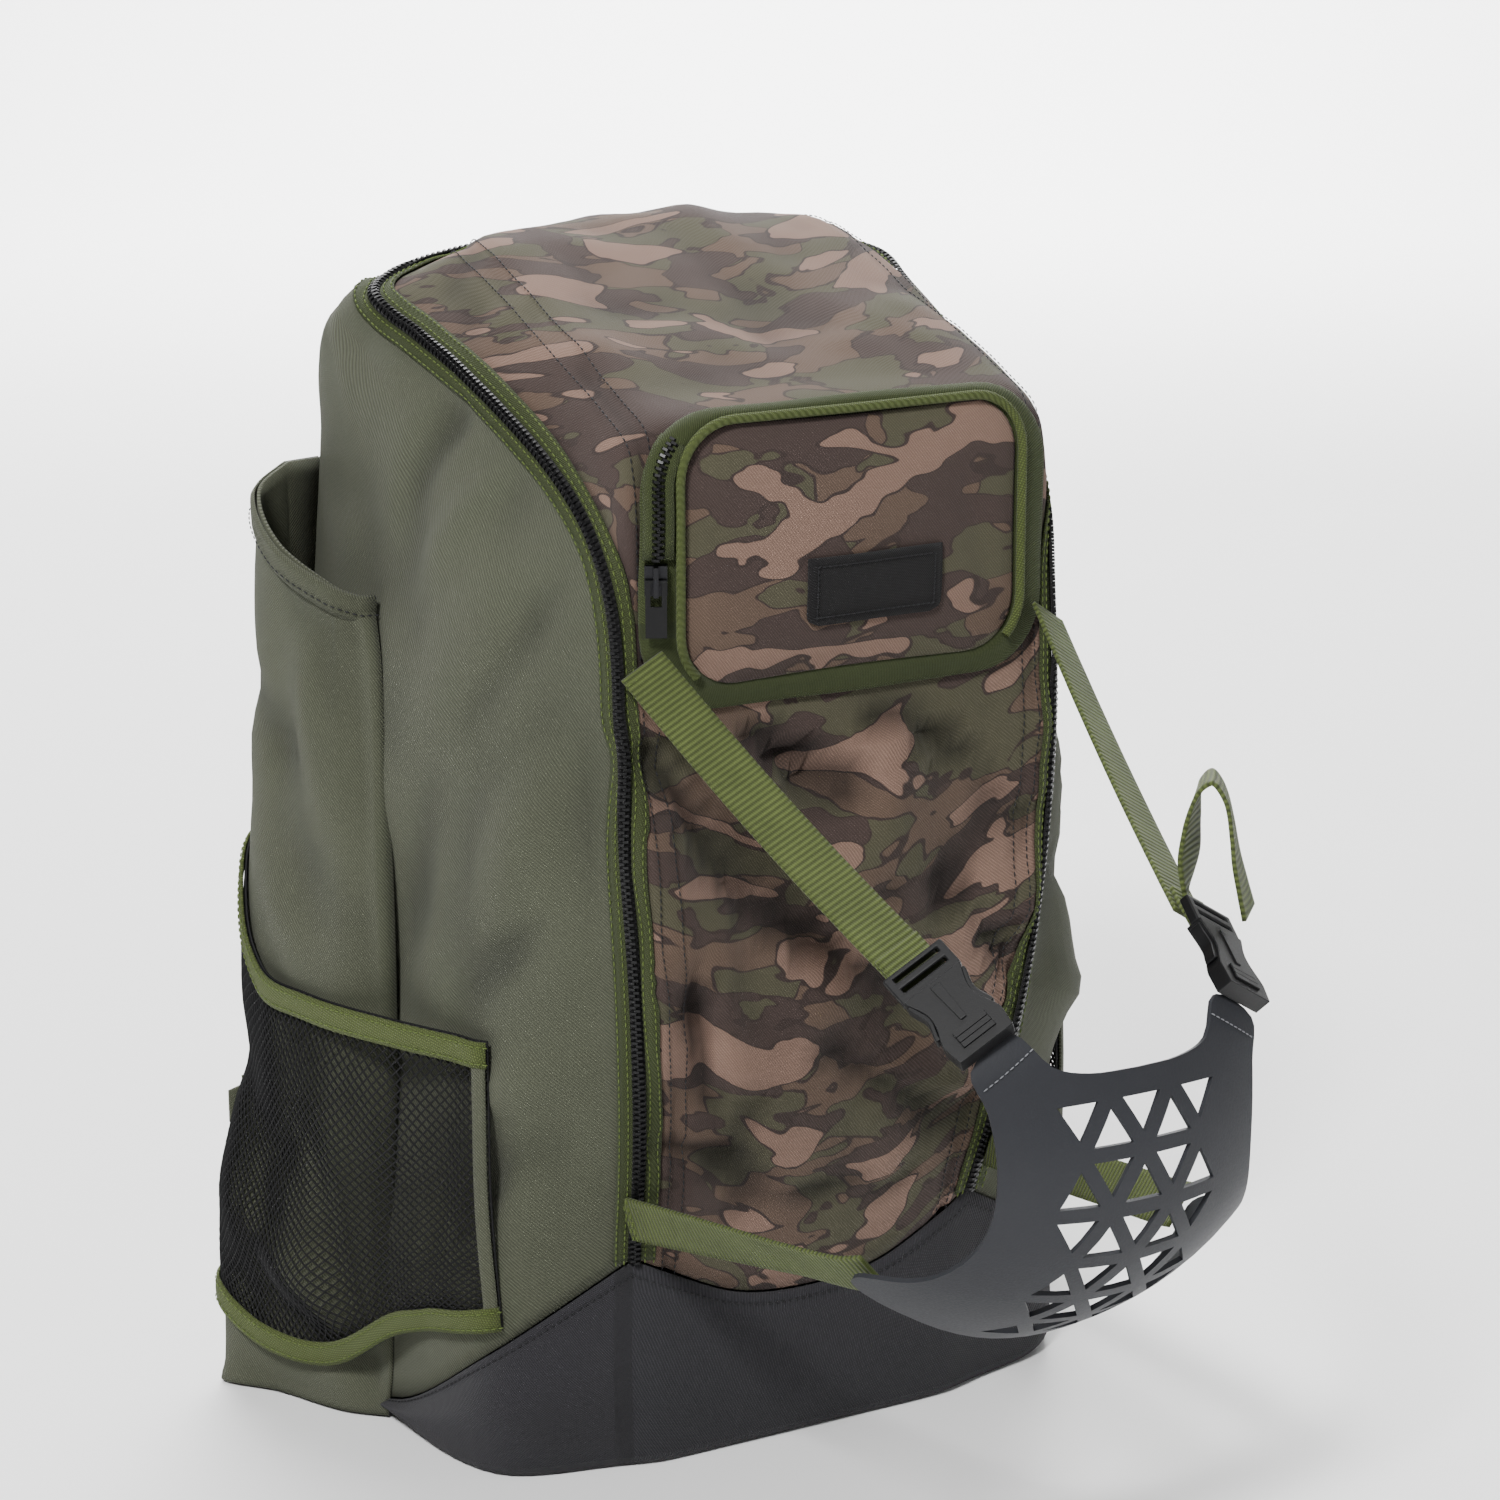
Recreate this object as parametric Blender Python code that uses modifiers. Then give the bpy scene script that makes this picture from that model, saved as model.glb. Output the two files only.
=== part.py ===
"""Baseball backpack, packed and standing on its base.

Units are metres, +Z is up, and the front of the bag faces -Y. The origin is the middle of the
base's underside. The soft shells are nets of hand-set sections: each line of a net runs up the
bag, and its rows hold shares of the named sizes.
"""

import math
from collections import namedtuple

import bmesh
import bpy
import numpy as np
from mathutils import Matrix, Vector
from mathutils.bvhtree import BVHTree

# Body: the height of the roof, the depth and width at the base, and the dark boot's front height
BAG_HEIGHT = 0.514
BODY_DEPTH = 0.191
BODY_WIDTH = 0.300
BASE_HEIGHT = 0.097
CORNER_ROUND = 0.014

# Walls and clearances
CLOTH = 0.002
BASE_WALL = 0.0025
SOLE_LIP = 0.006
SEAM_GAP = 0.0008
SEAT = 0.0004
SIDE_SEAT = 0.0009

# Zips
ZIP_SPLIT = 0.008
TAPE_HALF = 0.0036
TAPE_THICK = 0.0008
COIL_HALF = 0.0026
COIL_THICK = 0.0018

# Front pocket
POCKET_WIDTH = 0.160
POCKET_HEIGHT = 0.110
POCKET_TOP = BAG_HEIGHT - 0.054
POCKET_CORNER = 0.024
POCKET_FLARE = 0.013
POCKET_PROUD = 0.007
POCKET_CROWN = 0.004
PIPING_RADIUS = 0.002
PIPING_INSET = 0.0008
LABEL_WIDTH = 0.063
LABEL_HEIGHT = 0.028
LABEL_THICK = 0.0008
LABEL_X = 0.007
LABEL_Z = POCKET_TOP - 0.073

# Zip slider and its puller
SLIDER_Z = POCKET_TOP - 0.062
SLIDER_WIDTH = 0.009
SLIDER_LENGTH = 0.012
SLIDER_THICK = 0.004
BRIDGE_RISE = 0.0026
BRIDGE_WIDTH = 0.002
BRIDGE_THICK = 0.0012
PULLER_WIDTH = 0.0085
PULLER_LENGTH = 0.0225
PULLER_THICK = 0.0014
PULLER_EYE = 0.010
PULLER_BAR = 0.0024

# Side sleeves and mesh pockets
SLEEVE_HEIGHT = 0.413
SLEEVE_REACH = 0.055
SLEEVE_CLOTH = 0.0015
MESH_HEIGHT = 0.250
MESH_REACH = 0.055
MESH_THICK = 0.0012
BINDING_WIDTH = 0.011
BINDING_THICK = 0.0012

# Carrier and the straps that hold it
CARRIER_THICK = 0.002
CARRIER_OUT = 0.2465
CARRIER_TOP = 0.250
CARRIER_HALF = 0.058
LATTICE_SIDE = 0.0265
LATTICE_BAR = 0.0058
LATTICE_ROWS = 6
LATTICE_HALF_COLUMNS = 2
STRAP_WIDTH = 0.020
STRAP_THICK = 0.0016
BUCKLE_WIDTH = 0.027
BUCKLE_LENGTH = 0.046
BUCKLE_THICK = 0.009
BUCKLE_RISE = 0.006
UPPER_ANCHOR_X = 0.095
UPPER_ANCHOR_Z = POCKET_TOP - 0.096
UPPER_ANCHOR_LIFT = 0.0055
LOW_ANCHOR_X = 0.092
LOW_ANCHOR_Z = BASE_HEIGHT + 0.019
LOW_ANCHOR_LIFT = 0.003
LOW_FACING = (0.35, -0.35, -0.9)
LOW_ARM_ACROSS = 0.082
LOW_ARM_DOWN = 0.146
UPPER_ARM_DOWN = -0.014

# Back: pad, shoulder straps and their webbing
PAD_WIDTH = 0.210
PAD_HEIGHT = 0.340
PAD_THICK = 0.014
SHOULDER_WIDTH = 0.062
SHOULDER_THICK = 0.010
WEBBING_WIDTH = 0.025
TAB_SIDE = 0.045
TAB_Z = 0.120

# Samples on each span of a net
ROW_STEPS = 1
COLUMN_STEPS = 2
STEEPEST = 0.3
RING_STEPS = 4

Row = namedtuple("Row", "out forward rise")
Sleeve = namedtuple("Sleeve", "front shoulder outer swell back")
Spot = namedtuple("Spot", "out forward up")
Flat = namedtuple("Flat", "across down")
Bend = namedtuple("Bend", "down back drop")

# Lines up the bag, foot to top. out is a share of BODY_WIDTH / 2, forward a share of BODY_DEPTH
# from the back face, and rise a share of the height above the line's own foot.
ZIP_FOOT = 1.0
ZIP_LINE = (
    Row(0.55, 1.010, 0.000),
    Row(0.59, 1.105, 0.151),
    Row(0.63, 1.160, 0.307),
    Row(0.67, 1.168, 0.511),
    Row(0.67, 1.150, 0.667),
    Row(0.69, 1.095, 0.750),
    Row(0.71, 0.953, 0.805),
    Row(0.74, 0.759, 0.850),
    Row(0.77, 0.550, 0.887),
    Row(0.81, 0.340, 0.916),
    Row(0.83, 0.220, 0.934),
    Row(0.71, 0.136, 0.950),
)
SEAM_FOOT = 0.93
SEAM_LINE = (
    Row(0.46, 1.026, 0.000),
    Row(0.50, 1.135, 0.165),
    Row(0.55, 1.185, 0.318),
    Row(0.60, 1.190, 0.519),
    Row(0.61, 1.165, 0.679),
    Row(0.61, 1.158, 0.845),
    Row(0.61, 1.030, 0.878),
    Row(0.61, 0.817, 0.912),
    Row(0.60, 0.576, 0.949),
    Row(0.59, 0.346, 0.982),
    Row(0.56, 0.220, 0.984),
    Row(0.54, 0.126, 0.963),
)
MIDDLE_FOOT = 0.72
MIDDLE_LINE = (
    Row(0.0, 1.030, 0.000),
    Row(0.0, 1.155, 0.176),
    Row(0.0, 1.200, 0.346),
    Row(0.0, 1.200, 0.538),
    Row(0.0, 1.165, 0.719),
    Row(0.0, 1.170, 0.868),
    Row(0.0, 1.037, 0.892),
    Row(0.0, 0.796, 0.934),
    Row(0.0, 0.550, 0.973),
    Row(0.0, 0.325, 1.000),
    Row(0.0, 0.199, 0.998),
    Row(0.0, 0.105, 0.976),
)
HIP_FOOT = 0.60
HIP_LINE = (
    Row(0.93, 0.900, 0.000),
    Row(0.94, 0.910, 0.154),
    Row(0.93, 0.900, 0.300),
    Row(0.93, 0.880, 0.476),
    Row(0.91, 0.827, 0.607),
    Row(0.90, 0.759, 0.689),
    Row(0.89, 0.670, 0.756),
    Row(0.89, 0.550, 0.808),
    Row(0.88, 0.419, 0.854),
    Row(0.87, 0.272, 0.893),
    Row(0.86, 0.150, 0.924),
    Row(0.66, 0.126, 0.954),
)
SIDE_FOOT = 0.12
SIDE_LINE = (
    Row(1.03, 0.524, 0.000),
    Row(1.03, 0.513, 0.160),
    Row(1.01, 0.503, 0.298),
    Row(1.00, 0.492, 0.448),
    Row(0.99, 0.471, 0.576),
    Row(0.97, 0.445, 0.664),
    Row(0.95, 0.393, 0.730),
    Row(0.93, 0.325, 0.784),
    Row(0.91, 0.251, 0.838),
    Row(0.89, 0.168, 0.886),
    Row(0.85, 0.105, 0.921),
    Row(0.60, 0.120, 0.961),
)
CORNER_FOOT = 0.10
CORNER_LINE = (
    Row(1.00, 0.000, 0.000),
    Row(1.00, 0.000, 0.126),
    Row(1.00, 0.000, 0.253),
    Row(1.00, 0.000, 0.391),
    Row(0.99, 0.000, 0.520),
    Row(0.99, 0.000, 0.618),
    Row(0.97, 0.000, 0.697),
    Row(0.95, 0.000, 0.760),
    Row(0.93, 0.000, 0.815),
    Row(0.88, 0.000, 0.871),
    Row(0.77, 0.010, 0.921),
    Row(0.50, 0.115, 0.963),
)

# Side sleeve: each row goes round from its front seam to its back seam. out is a share of
# SLEEVE_REACH beyond the body's half width, forward of BODY_DEPTH, and up of SLEEVE_HEIGHT.
SLEEVE_ROWS = (
    Sleeve(Spot(0.1, 0.51, 0.004), Spot(0.38, 0.43, 0.004), Spot(0.69, 0.26, 0.004),
           Spot(1.00, 0.125, 0.004), Spot(0.1, 0.02, 0.004)),
    Sleeve(Spot(0.1, 0.54, 0.07), Spot(0.36, 0.45, 0.07), Spot(0.65, 0.27, 0.07),
           Spot(0.94, 0.105, 0.07), Spot(0.1, 0.01, 0.07)),
    Sleeve(Spot(0.1, 0.56, 0.22), Spot(0.38, 0.46, 0.22), Spot(0.62, 0.29, 0.22),
           Spot(0.84, 0.095, 0.22), Spot(0.1, 0.01, 0.22)),
    Sleeve(Spot(0.1, 0.57, 0.41), Spot(0.40, 0.47, 0.41), Spot(0.60, 0.29, 0.41),
           Spot(0.69, 0.115, 0.41), Spot(0.1, 0.01, 0.41)),
    Sleeve(Spot(0.1, 0.55, 0.63), Spot(0.38, 0.46, 0.63), Spot(0.57, 0.29, 0.63),
           Spot(0.58, 0.130, 0.63), Spot(0.1, 0.01, 0.63)),
    Sleeve(Spot(0.0, 0.48, 0.82), Spot(0.31, 0.42, 0.82), Spot(0.49, 0.28, 0.83),
           Spot(0.47, 0.125, 0.84), Spot(0.0, 0.01, 0.86)),
    Sleeve(Spot(0.0, 0.42, 0.89), Spot(0.22, 0.39, 0.905), Spot(0.47, 0.27, 0.94),
           Spot(0.40, 0.115, 0.98), Spot(0.0, 0.02, 1.00)),
)

# Mesh pocket over the sleeve: out is a share of MESH_REACH, up a share of MESH_HEIGHT
MESH_ROWS = (
    Sleeve(Spot(-0.2, 0.925, 0.28), Spot(0.16, 0.67, 0.22), Spot(0.44, 0.43, 0.10),
           Spot(0.84, 0.25, 0.10), Spot(1.12, 0.09, 0.16)),
    Sleeve(Spot(-0.2, 0.925, 0.42), Spot(0.22, 0.68, 0.38), Spot(0.56, 0.43, 0.34),
           Spot(0.85, 0.23, 0.34), Spot(1.03, 0.08, 0.37)),
    Sleeve(Spot(-0.2, 0.920, 0.60), Spot(0.26, 0.68, 0.56), Spot(0.60, 0.43, 0.56),
           Spot(0.80, 0.23, 0.57), Spot(0.88, 0.08, 0.60)),
    Sleeve(Spot(-0.2, 0.910, 0.79), Spot(0.24, 0.67, 0.79), Spot(0.56, 0.43, 0.79),
           Spot(0.72, 0.25, 0.81), Spot(0.76, 0.10, 1.00)),
)

# The free tail's loop from where it leaves the buckle: how far out to the side and up, and how
# much its width is turned that way.
Loop = namedtuple("Loop", "out up twist")
TAIL_LOOP = (
    Loop(0.0000, 0.000, 0.00),
    Loop(0.0005, 0.018, 0.40),
    Loop(0.0030, 0.042, 0.10),
    Loop(0.0085, 0.048, 0.00),
    Loop(0.0145, 0.038, 0.00),
    Loop(0.0185, 0.016, 0.10),
    Loop(0.0240, -0.006, 0.20),
)

# Carrier: its middle line from the top edge down (down is the length along the sheet, back and
# drop are how far it has gone), and the right half of its flat outline. All are in metres.
CARRIER_BEND = (
    Bend(-0.022, 0.010, -0.018),
    Bend(0.000, 0.000, 0.000),
    Bend(0.036, -0.007, 0.035),
    Bend(0.071, -0.003, 0.070),
    Bend(0.109, 0.018, 0.102),
    Bend(0.153, 0.053, 0.128),
    Bend(0.197, 0.093, 0.147),
)
CARRIER_OUTLINE = (
    Flat(0.000, 0.003), Flat(0.020, 0.002), Flat(0.034, -0.003), Flat(0.046, -0.020),
    Flat(0.064, -0.008), Flat(0.060, 0.012), Flat(0.058, 0.036), Flat(0.059, 0.056),
    Flat(0.064, 0.080), Flat(0.074, 0.106), Flat(0.090, 0.138), Flat(0.087, 0.154),
    Flat(0.062, 0.153), Flat(0.030, 0.157), Flat(0.000, 0.158),
)
BOWL_RADIUS_TOP = 0.150
BOWL_RADIUS_LOW = 0.095

FRONT_Y = -BODY_DEPTH / 2
BACK_Y = BODY_DEPTH / 2
HALF = BODY_WIDTH / 2

PartColour = namedtuple("PartColour", "red green blue roughness metallic")
COLOURS = {
    "green_fabric": PartColour(0.098, 0.104, 0.072, 0.85, 0.0),
    "camo_fabric": PartColour(0.150, 0.110, 0.085, 0.85, 0.0),
    "olive_webbing": PartColour(0.100, 0.150, 0.035, 0.70, 0.0),
    "base_fabric": PartColour(0.042, 0.041, 0.045, 0.60, 0.0),
    "carrier_sheet": PartColour(0.052, 0.053, 0.058, 0.50, 0.0),
    "black_plastic": PartColour(0.012, 0.012, 0.013, 0.35, 0.0),
    "black_mesh": PartColour(0.015, 0.016, 0.016, 0.75, 0.0),
    "dark_metal": PartColour(0.030, 0.030, 0.032, 0.30, 1.0),
}


def clear_scene():
    for old in list(bpy.data.objects):
        bpy.data.objects.remove(old, do_unlink=True)


def make_collection(name, is_cutters=False):
    made = bpy.data.collections.new(name)
    made.hide_render = is_cutters
    bpy.context.scene.collection.children.link(made)
    return made


def material(name):
    """The Principled material of this name, made once."""
    found = bpy.data.materials.get(name)
    if found:
        return found
    colour = COLOURS[name]
    made = bpy.data.materials.new(name)
    made.use_nodes = True
    shader = made.node_tree.nodes["Principled BSDF"]
    shader.inputs["Base Color"].default_value = (colour.red, colour.green, colour.blue, 1)
    shader.inputs["Roughness"].default_value = colour.roughness
    shader.inputs["Metallic"].default_value = colour.metallic
    made.diffuse_color = (colour.red, colour.green, colour.blue, 1)
    return made


def add_mesh(name, mesh, finish):
    mesh.materials.append(material(finish))
    made = bpy.data.objects.new(name, mesh)
    BAG.objects.link(made)
    return made


def unit(vectors):
    return vectors / np.maximum(np.linalg.norm(vectors, axis=-1, keepdims=True), 1e-12)


def spline(points, count):
    """Points on a smooth curve through the given ones, evenly many on each of its spans."""
    points = np.asarray(points, float)
    span = np.diff(points, axis=0)
    size = np.maximum(np.linalg.norm(span, axis=-1, keepdims=True), 1e-9)
    speed = span / size
    inner = (points[2:] - points[:-2]) / (size[:-1] + size[1:])
    slope = np.concatenate([speed[:1], inner, speed[-1:]])
    spots = np.linspace(0, len(points) - 1, count)
    k = np.minimum(spots.astype(int), len(points) - 2)
    t = (spots - k).reshape((-1,) + (1,) * (points.ndim - 1))
    return (
        (1 + 2 * t) * (1 - t) ** 2 * points[k]
        + t * (1 - t) ** 2 * size[k] * slope[k]
        + t**2 * (3 - 2 * t) * points[k + 1]
        + t**2 * (t - 1) * size[k] * slope[k + 1]
    )


def dense(net, row_steps, column_steps):
    """A net of rows and columns, resampled smoothly both ways."""
    rows = spline(net, (len(net) - 1) * row_steps + 1)
    columns = np.swapaxes(rows, 0, 1)
    return np.swapaxes(spline(columns, (len(columns) - 1) * column_steps + 1), 0, 1)


def bag_line(foot, rows):
    low = BASE_HEIGHT * foot
    return np.array([
        (HALF * row.out, BODY_DEPTH * (0.5 - row.forward), low + (BAG_HEIGHT - low) * row.rise)
        for row in rows
    ])


def mirrored(points):
    return points * np.array([-1.0, 1.0, 1.0])


def mirrored_grid(grid):
    """The grid on the bag's other side, its columns turned so that it still faces out."""
    return mirrored(grid)[:, ::-1]


def toward(points, others, distance):
    return points + unit(others - points) * distance


def walk(rows, distance):
    """On each row of points, the point this far along it from its start."""
    found = []
    for row in rows:
        left = distance
        for here, there in zip(row[:-1], row[1:]):
            length = np.linalg.norm(there - here)
            if left <= length:
                break
            left -= length
        found.append(here + (there - here) * left / length)
    return np.array(found)


def grid_faces(rows, columns, closed=False):
    last = columns if closed else columns - 1
    return [
        (
            j * columns + i,
            j * columns + (i + 1) % columns,
            (j + 1) * columns + (i + 1) % columns,
            (j + 1) * columns + i,
        )
        for j in range(rows - 1)
        for i in range(last)
    ]


def tree_of(*grids):
    """A surface that points can be seated on."""
    points, faces = [], []
    for grid in grids:
        first = len(points)
        points += [Vector(p) for p in grid.reshape(-1, 3)]
        faces += [tuple(first + k for k in face) for face in grid_faces(*grid.shape[:2])]
    return BVHTree.FromPolygons(points, faces)


def cast(tree, start, direction, lift):
    """Where a straight line meets the surface, drawn back along it to stand off the surface."""
    direction = Vector(direction)
    spot, facing = tree.ray_cast(Vector(start), direction)[:2]
    return np.array(spot - direction * lift / max(abs(direction.dot(facing)), STEEPEST))


def on_side(y, z, lift):
    """A point beside the bag's right side, and below the sole's lip beside the lip itself."""
    spot = cast(SKIN, (2 * BODY_WIDTH, y, max(z, 1.2 * SOLE_LIP)), (-1, 0, 0), lift)
    return np.array([spot[0], y, z])


def on_front(x, z, lift):
    return cast(SKIN, (x, -3 * BODY_DEPTH, z), (0, 1, 0), lift)


def smooth(obj, angle=35):
    obj.data.shade_smooth()
    obj.data.set_sharp_from_angle(angle=math.radians(angle))


def sheet(name, grid, thick, finish, outside=False, closed=False, cap=None):
    """A shell: the grid as an open surface, thickened inwards, or outwards if outside is set.
    cap closes a ring of columns at its first or last row."""
    rows, columns = grid.shape[:2]
    faces = grid_faces(rows, columns, closed)
    if cap == "first":
        faces.append(tuple(reversed(range(columns))))
    if cap == "last":
        faces.append(tuple(range((rows - 1) * columns, rows * columns)))
    mesh = bpy.data.meshes.new(name)
    mesh.from_pydata([tuple(p) for p in grid.reshape(-1, 3)], [], faces)
    obj = add_mesh(name, mesh, finish)
    shell = obj.modifiers.new("Wall", "SOLIDIFY")
    shell.thickness = thick
    shell.offset = 1 if outside else -1
    smooth(obj)
    return obj


def both_sides(name, grid, thick, finish, outside=True):
    sheet(f"{name}_right", grid, thick, finish, outside)
    sheet(f"{name}_left", mirrored_grid(grid), thick, finish, outside)


def grid_normals(grid):
    """Outward directions at a grid's points."""
    along = np.gradient(grid, axis=1)
    up = np.gradient(grid, axis=0)
    return unit(np.cross(along, up))


def strap_grid(middle, facing, width):
    """Two edges of a flat strap along the middle points, its face turned to the facing ones."""
    middle = np.asarray(middle, float)
    along = unit(np.gradient(middle, axis=0))
    across = unit(np.cross(along, np.asarray(facing, float)))
    return np.stack([middle - across * width / 2, middle + across * width / 2], axis=1)


def strap(name, middle, facing, width, thick, finish="olive_webbing"):
    """A flat strap, half its thickness on each side of the middle points."""
    obj = sheet(name, strap_grid(middle, facing, width), thick, finish)
    obj.modifiers["Wall"].offset = 0
    return obj


def tube(name, points, radius, finish):
    curve = bpy.data.curves.new(name, "CURVE")
    curve.dimensions = "3D"
    curve.bevel_depth = radius
    curve.bevel_resolution = 2
    curve.use_fill_caps = True
    line = curve.splines.new("POLY")
    line.points.add(len(points) - 1)
    for spot, point in zip(line.points, points):
        spot.co = (*point, 1)
    curve.materials.append(material(finish))
    made = bpy.data.objects.new(name, curve)
    BAG.objects.link(made)
    return made


def rounded_ring(half_width, low, high, radius):
    """(x, z) points round a rectangle with round corners, once round from its lower left. Each
    corner and each side between two corners takes RING_STEPS + 1 and RING_STEPS points."""
    corners = (
        (-half_width + radius, low + radius, 180),
        (half_width - radius, low + radius, 270),
        (half_width - radius, high - radius, 0),
        (-half_width + radius, high - radius, 90),
    )
    arcs = [
        [(x + radius * math.cos(math.radians(start + 90 * k / RING_STEPS)),
          z + radius * math.sin(math.radians(start + 90 * k / RING_STEPS)))
         for k in range(RING_STEPS + 1)]
        for x, z, start in corners
    ]
    ring = []
    for arc, ahead in zip(arcs, arcs[1:] + arcs[:1]):
        ring += arc + list(np.linspace(arc[-1], ahead[0], RING_STEPS + 2)[1:-1])
    return np.array(ring)


def flat_plate(name, outline, holes, thick, finish):
    """A plate in the XY plane, cut from its outline and holes, as a mesh object."""
    curve = bpy.data.curves.new(name, "CURVE")
    curve.dimensions = "2D"
    curve.fill_mode = "BOTH"
    curve.extrude = thick / 2
    for loop in (outline, *holes):
        line = curve.splines.new("POLY")
        line.points.add(len(loop) - 1)
        line.use_cyclic_u = True
        for spot, (x, y) in zip(line.points, loop):
            spot.co = (x, y, 0, 1)
    guide = bpy.data.objects.new(name + "_outline", curve)
    CUTTERS.objects.link(guide)
    graph = bpy.context.evaluated_depsgraph_get()
    mesh = bpy.data.meshes.new_from_object(guide.evaluated_get(graph))
    bpy.data.objects.remove(guide, do_unlink=True)
    work = bmesh.new()
    work.from_mesh(mesh)
    bmesh.ops.remove_doubles(work, verts=work.verts, dist=1e-6)
    bmesh.ops.recalc_face_normals(work, faces=work.faces)
    work.to_mesh(mesh)
    work.free()
    mesh.materials.clear()
    return add_mesh(name, mesh, finish)


def body_grids():
    """The front panel's and the body's outer surfaces, which share the line of the zip."""
    zip_line = bag_line(ZIP_FOOT, ZIP_LINE)
    seam = bag_line(SEAM_FOOT, SEAM_LINE)
    middle = bag_line(MIDDLE_FOOT, MIDDLE_LINE)
    hip = bag_line(HIP_FOOT, HIP_LINE)
    side = bag_line(SIDE_FOOT, SIDE_LINE)
    corner = bag_line(CORNER_FOOT, CORNER_LINE)
    quarter = seam + 0.8 * (middle - seam)
    quarter[:, 0] = seam[:, 0] / 2
    right = [quarter, seam, zip_line]
    front_net = np.stack(
        [mirrored(line) for line in reversed(right)] + [middle] + right, axis=1
    )
    front = dense(front_net, ROW_STEPS, COLUMN_STEPS)
    back = corner * (0, 1, 1)
    back[-1] = middle[-1]
    before = toward(corner, side, CORNER_ROUND)
    after = toward(corner, back, CORNER_ROUND)
    # The body's last row lies on the front panel's, where the zip crosses the top.
    top = front[-1]
    for line in (hip, side, before, after):
        line[-1, 1:] = [np.interp(line[-1, 0], top[:, 0], top[:, k]) for k in (1, 2)]
    half = [zip_line, hip, side, before, after]
    body_net = np.stack(half + [back] + [mirrored(line) for line in reversed(half)], axis=1)
    body = dense(body_net, ROW_STEPS, COLUMN_STEPS)
    body[..., 1] = np.minimum(body[..., 1], BACK_Y)
    return front, body


def base_grid(front, body):
    """The boot's rings: its sole, the top of its rounded lip and its rim under the shell."""
    ring = np.concatenate([front[0], body[0, 1:-1]])
    rim = ring - (0, 0, SEAM_GAP)
    lip = np.minimum(SOLE_LIP, rim[:, 2:] / 2)
    knee = np.concatenate([rim[:, :2], lip], axis=1)
    sole = toward(knee, np.zeros(3), SOLE_LIP) * (1, 1, 0)
    return np.stack([sole, knee, rim])


def add_shells(front, body):
    """The camouflage front and the green body, split along the zip and clear of the base."""
    panel = front.copy()
    panel[:, 0] = toward(front[:, 0], front[:, 1], ZIP_SPLIT / 2)
    panel[:, -1] = toward(front[:, -1], front[:, -2], ZIP_SPLIT / 2)
    panel[-1, 1:-1] = toward(panel[-1, 1:-1], panel[-2, 1:-1], ZIP_SPLIT / 2)
    panel[-1, [0, -1]] = toward(front[-1, [0, -1]], front[-2, [1, -2]], 1.2 * ZIP_SPLIT / 2)
    sheet("front_panel", panel, CLOTH, "camo_fabric")
    shell = body.copy()
    shell[:, 0] = toward(body[:, 0], body[:, 1], ZIP_SPLIT / 2)
    shell[:, -1] = toward(body[:, -1], body[:, -2], ZIP_SPLIT / 2)
    away = unit(body[-2, fan_columns(body)] - body[-1])
    down = np.linalg.norm(away[:, 1:], axis=1, keepdims=True)
    shell[-1] = body[-1] + away * ZIP_SPLIT / 2 / np.maximum(down, 0.5)
    sheet("main_body", shell, CLOTH, "green_fabric")


def fan_columns(body):
    """For each column of the body's top row, the column below that lies straight off the zip."""
    middle = body.shape[1] // 2
    fan = 2 * COLUMN_STEPS
    half = [max(k, min(k + fan, 2 * fan)) for k in range(middle)]
    return np.array([*half, middle, *(2 * middle - k for k in reversed(half))])


def zip_path(front, body, half_width):
    """Points on both sides of the zip and on it, with the outward direction of each side."""
    edge = front[:-1, -1]
    inner = walk(front[:-1, ::-1], half_width)
    outer = walk(body[:-1], half_width)
    cross = front[-1, ::-1][1:-1]
    below = walk(np.swapaxes(front[::-1, ::-1], 0, 1)[1:-1], half_width)
    crown = np.array([
        [np.interp(x, row[::-1, 0], row[::-1, k]) for k in range(3)]
        for x in cross[:, 0]
        for row in (body[-1], body[-2])
    ]).reshape(-1, 2, 3)
    above = walk(crown, half_width)
    corner = front[-1:, -1]
    turned_in = toward(corner, front[-2:-1, -2], 1.2 * half_width)
    turned_out = toward(corner, body[-2:-1, 2 * COLUMN_STEPS], half_width)

    def across(side, turn, top):
        return np.concatenate([side, turn, top, mirrored(turn), mirrored(side[::-1])])

    a = across(inner, turned_in, below)
    line = across(edge, corner, cross)
    b = across(outer, turned_out, above)
    along = np.gradient(line, axis=0)
    facing_a = unit(np.cross(line - a, along))
    facing_b = unit(np.cross(b - line, along))
    return a, line, b, facing_a, facing_b


def add_main_zip(front, body):
    """The olive tape and the black coil, from the base up one side, across the top and down."""
    for name, half_width, lift, thick, finish in (
        ("main_zip_tape", TAPE_HALF, 0, TAPE_THICK, "olive_webbing"),
        ("main_zip_coil", COIL_HALF, SEAT, COIL_THICK, "black_plastic"),
    ):
        a, line, b, facing_a, facing_b = zip_path(front, body, half_width)
        facing = unit(facing_a + facing_b)
        rise = lift / np.sum(facing * facing_a, axis=-1, keepdims=True)
        grid = np.stack([b + facing_b * lift, line + facing * rise, a + facing_a * lift])
        sheet(name, grid, thick, finish, outside=lift > 0)


def pocket_rings():
    """The front pocket's root ring on the panel and its front ring."""
    low = POCKET_TOP - POCKET_HEIGHT
    front_ring = rounded_ring(POCKET_WIDTH / 2, low, POCKET_TOP, POCKET_CORNER)
    root_ring = rounded_ring(
        POCKET_WIDTH / 2 + POCKET_FLARE, low - POCKET_FLARE / 2,
        POCKET_TOP - SEAM_GAP, POCKET_CORNER + POCKET_FLARE / 2,
    )
    root = np.array([on_front(x, z, SIDE_SEAT) for x, z in root_ring])
    face_y = on_front(0, low + POCKET_HEIGHT / 2, 0)[1] - POCKET_PROUD
    rim = np.array([(x, face_y, z) for x, z in front_ring])
    return root, rim


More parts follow.
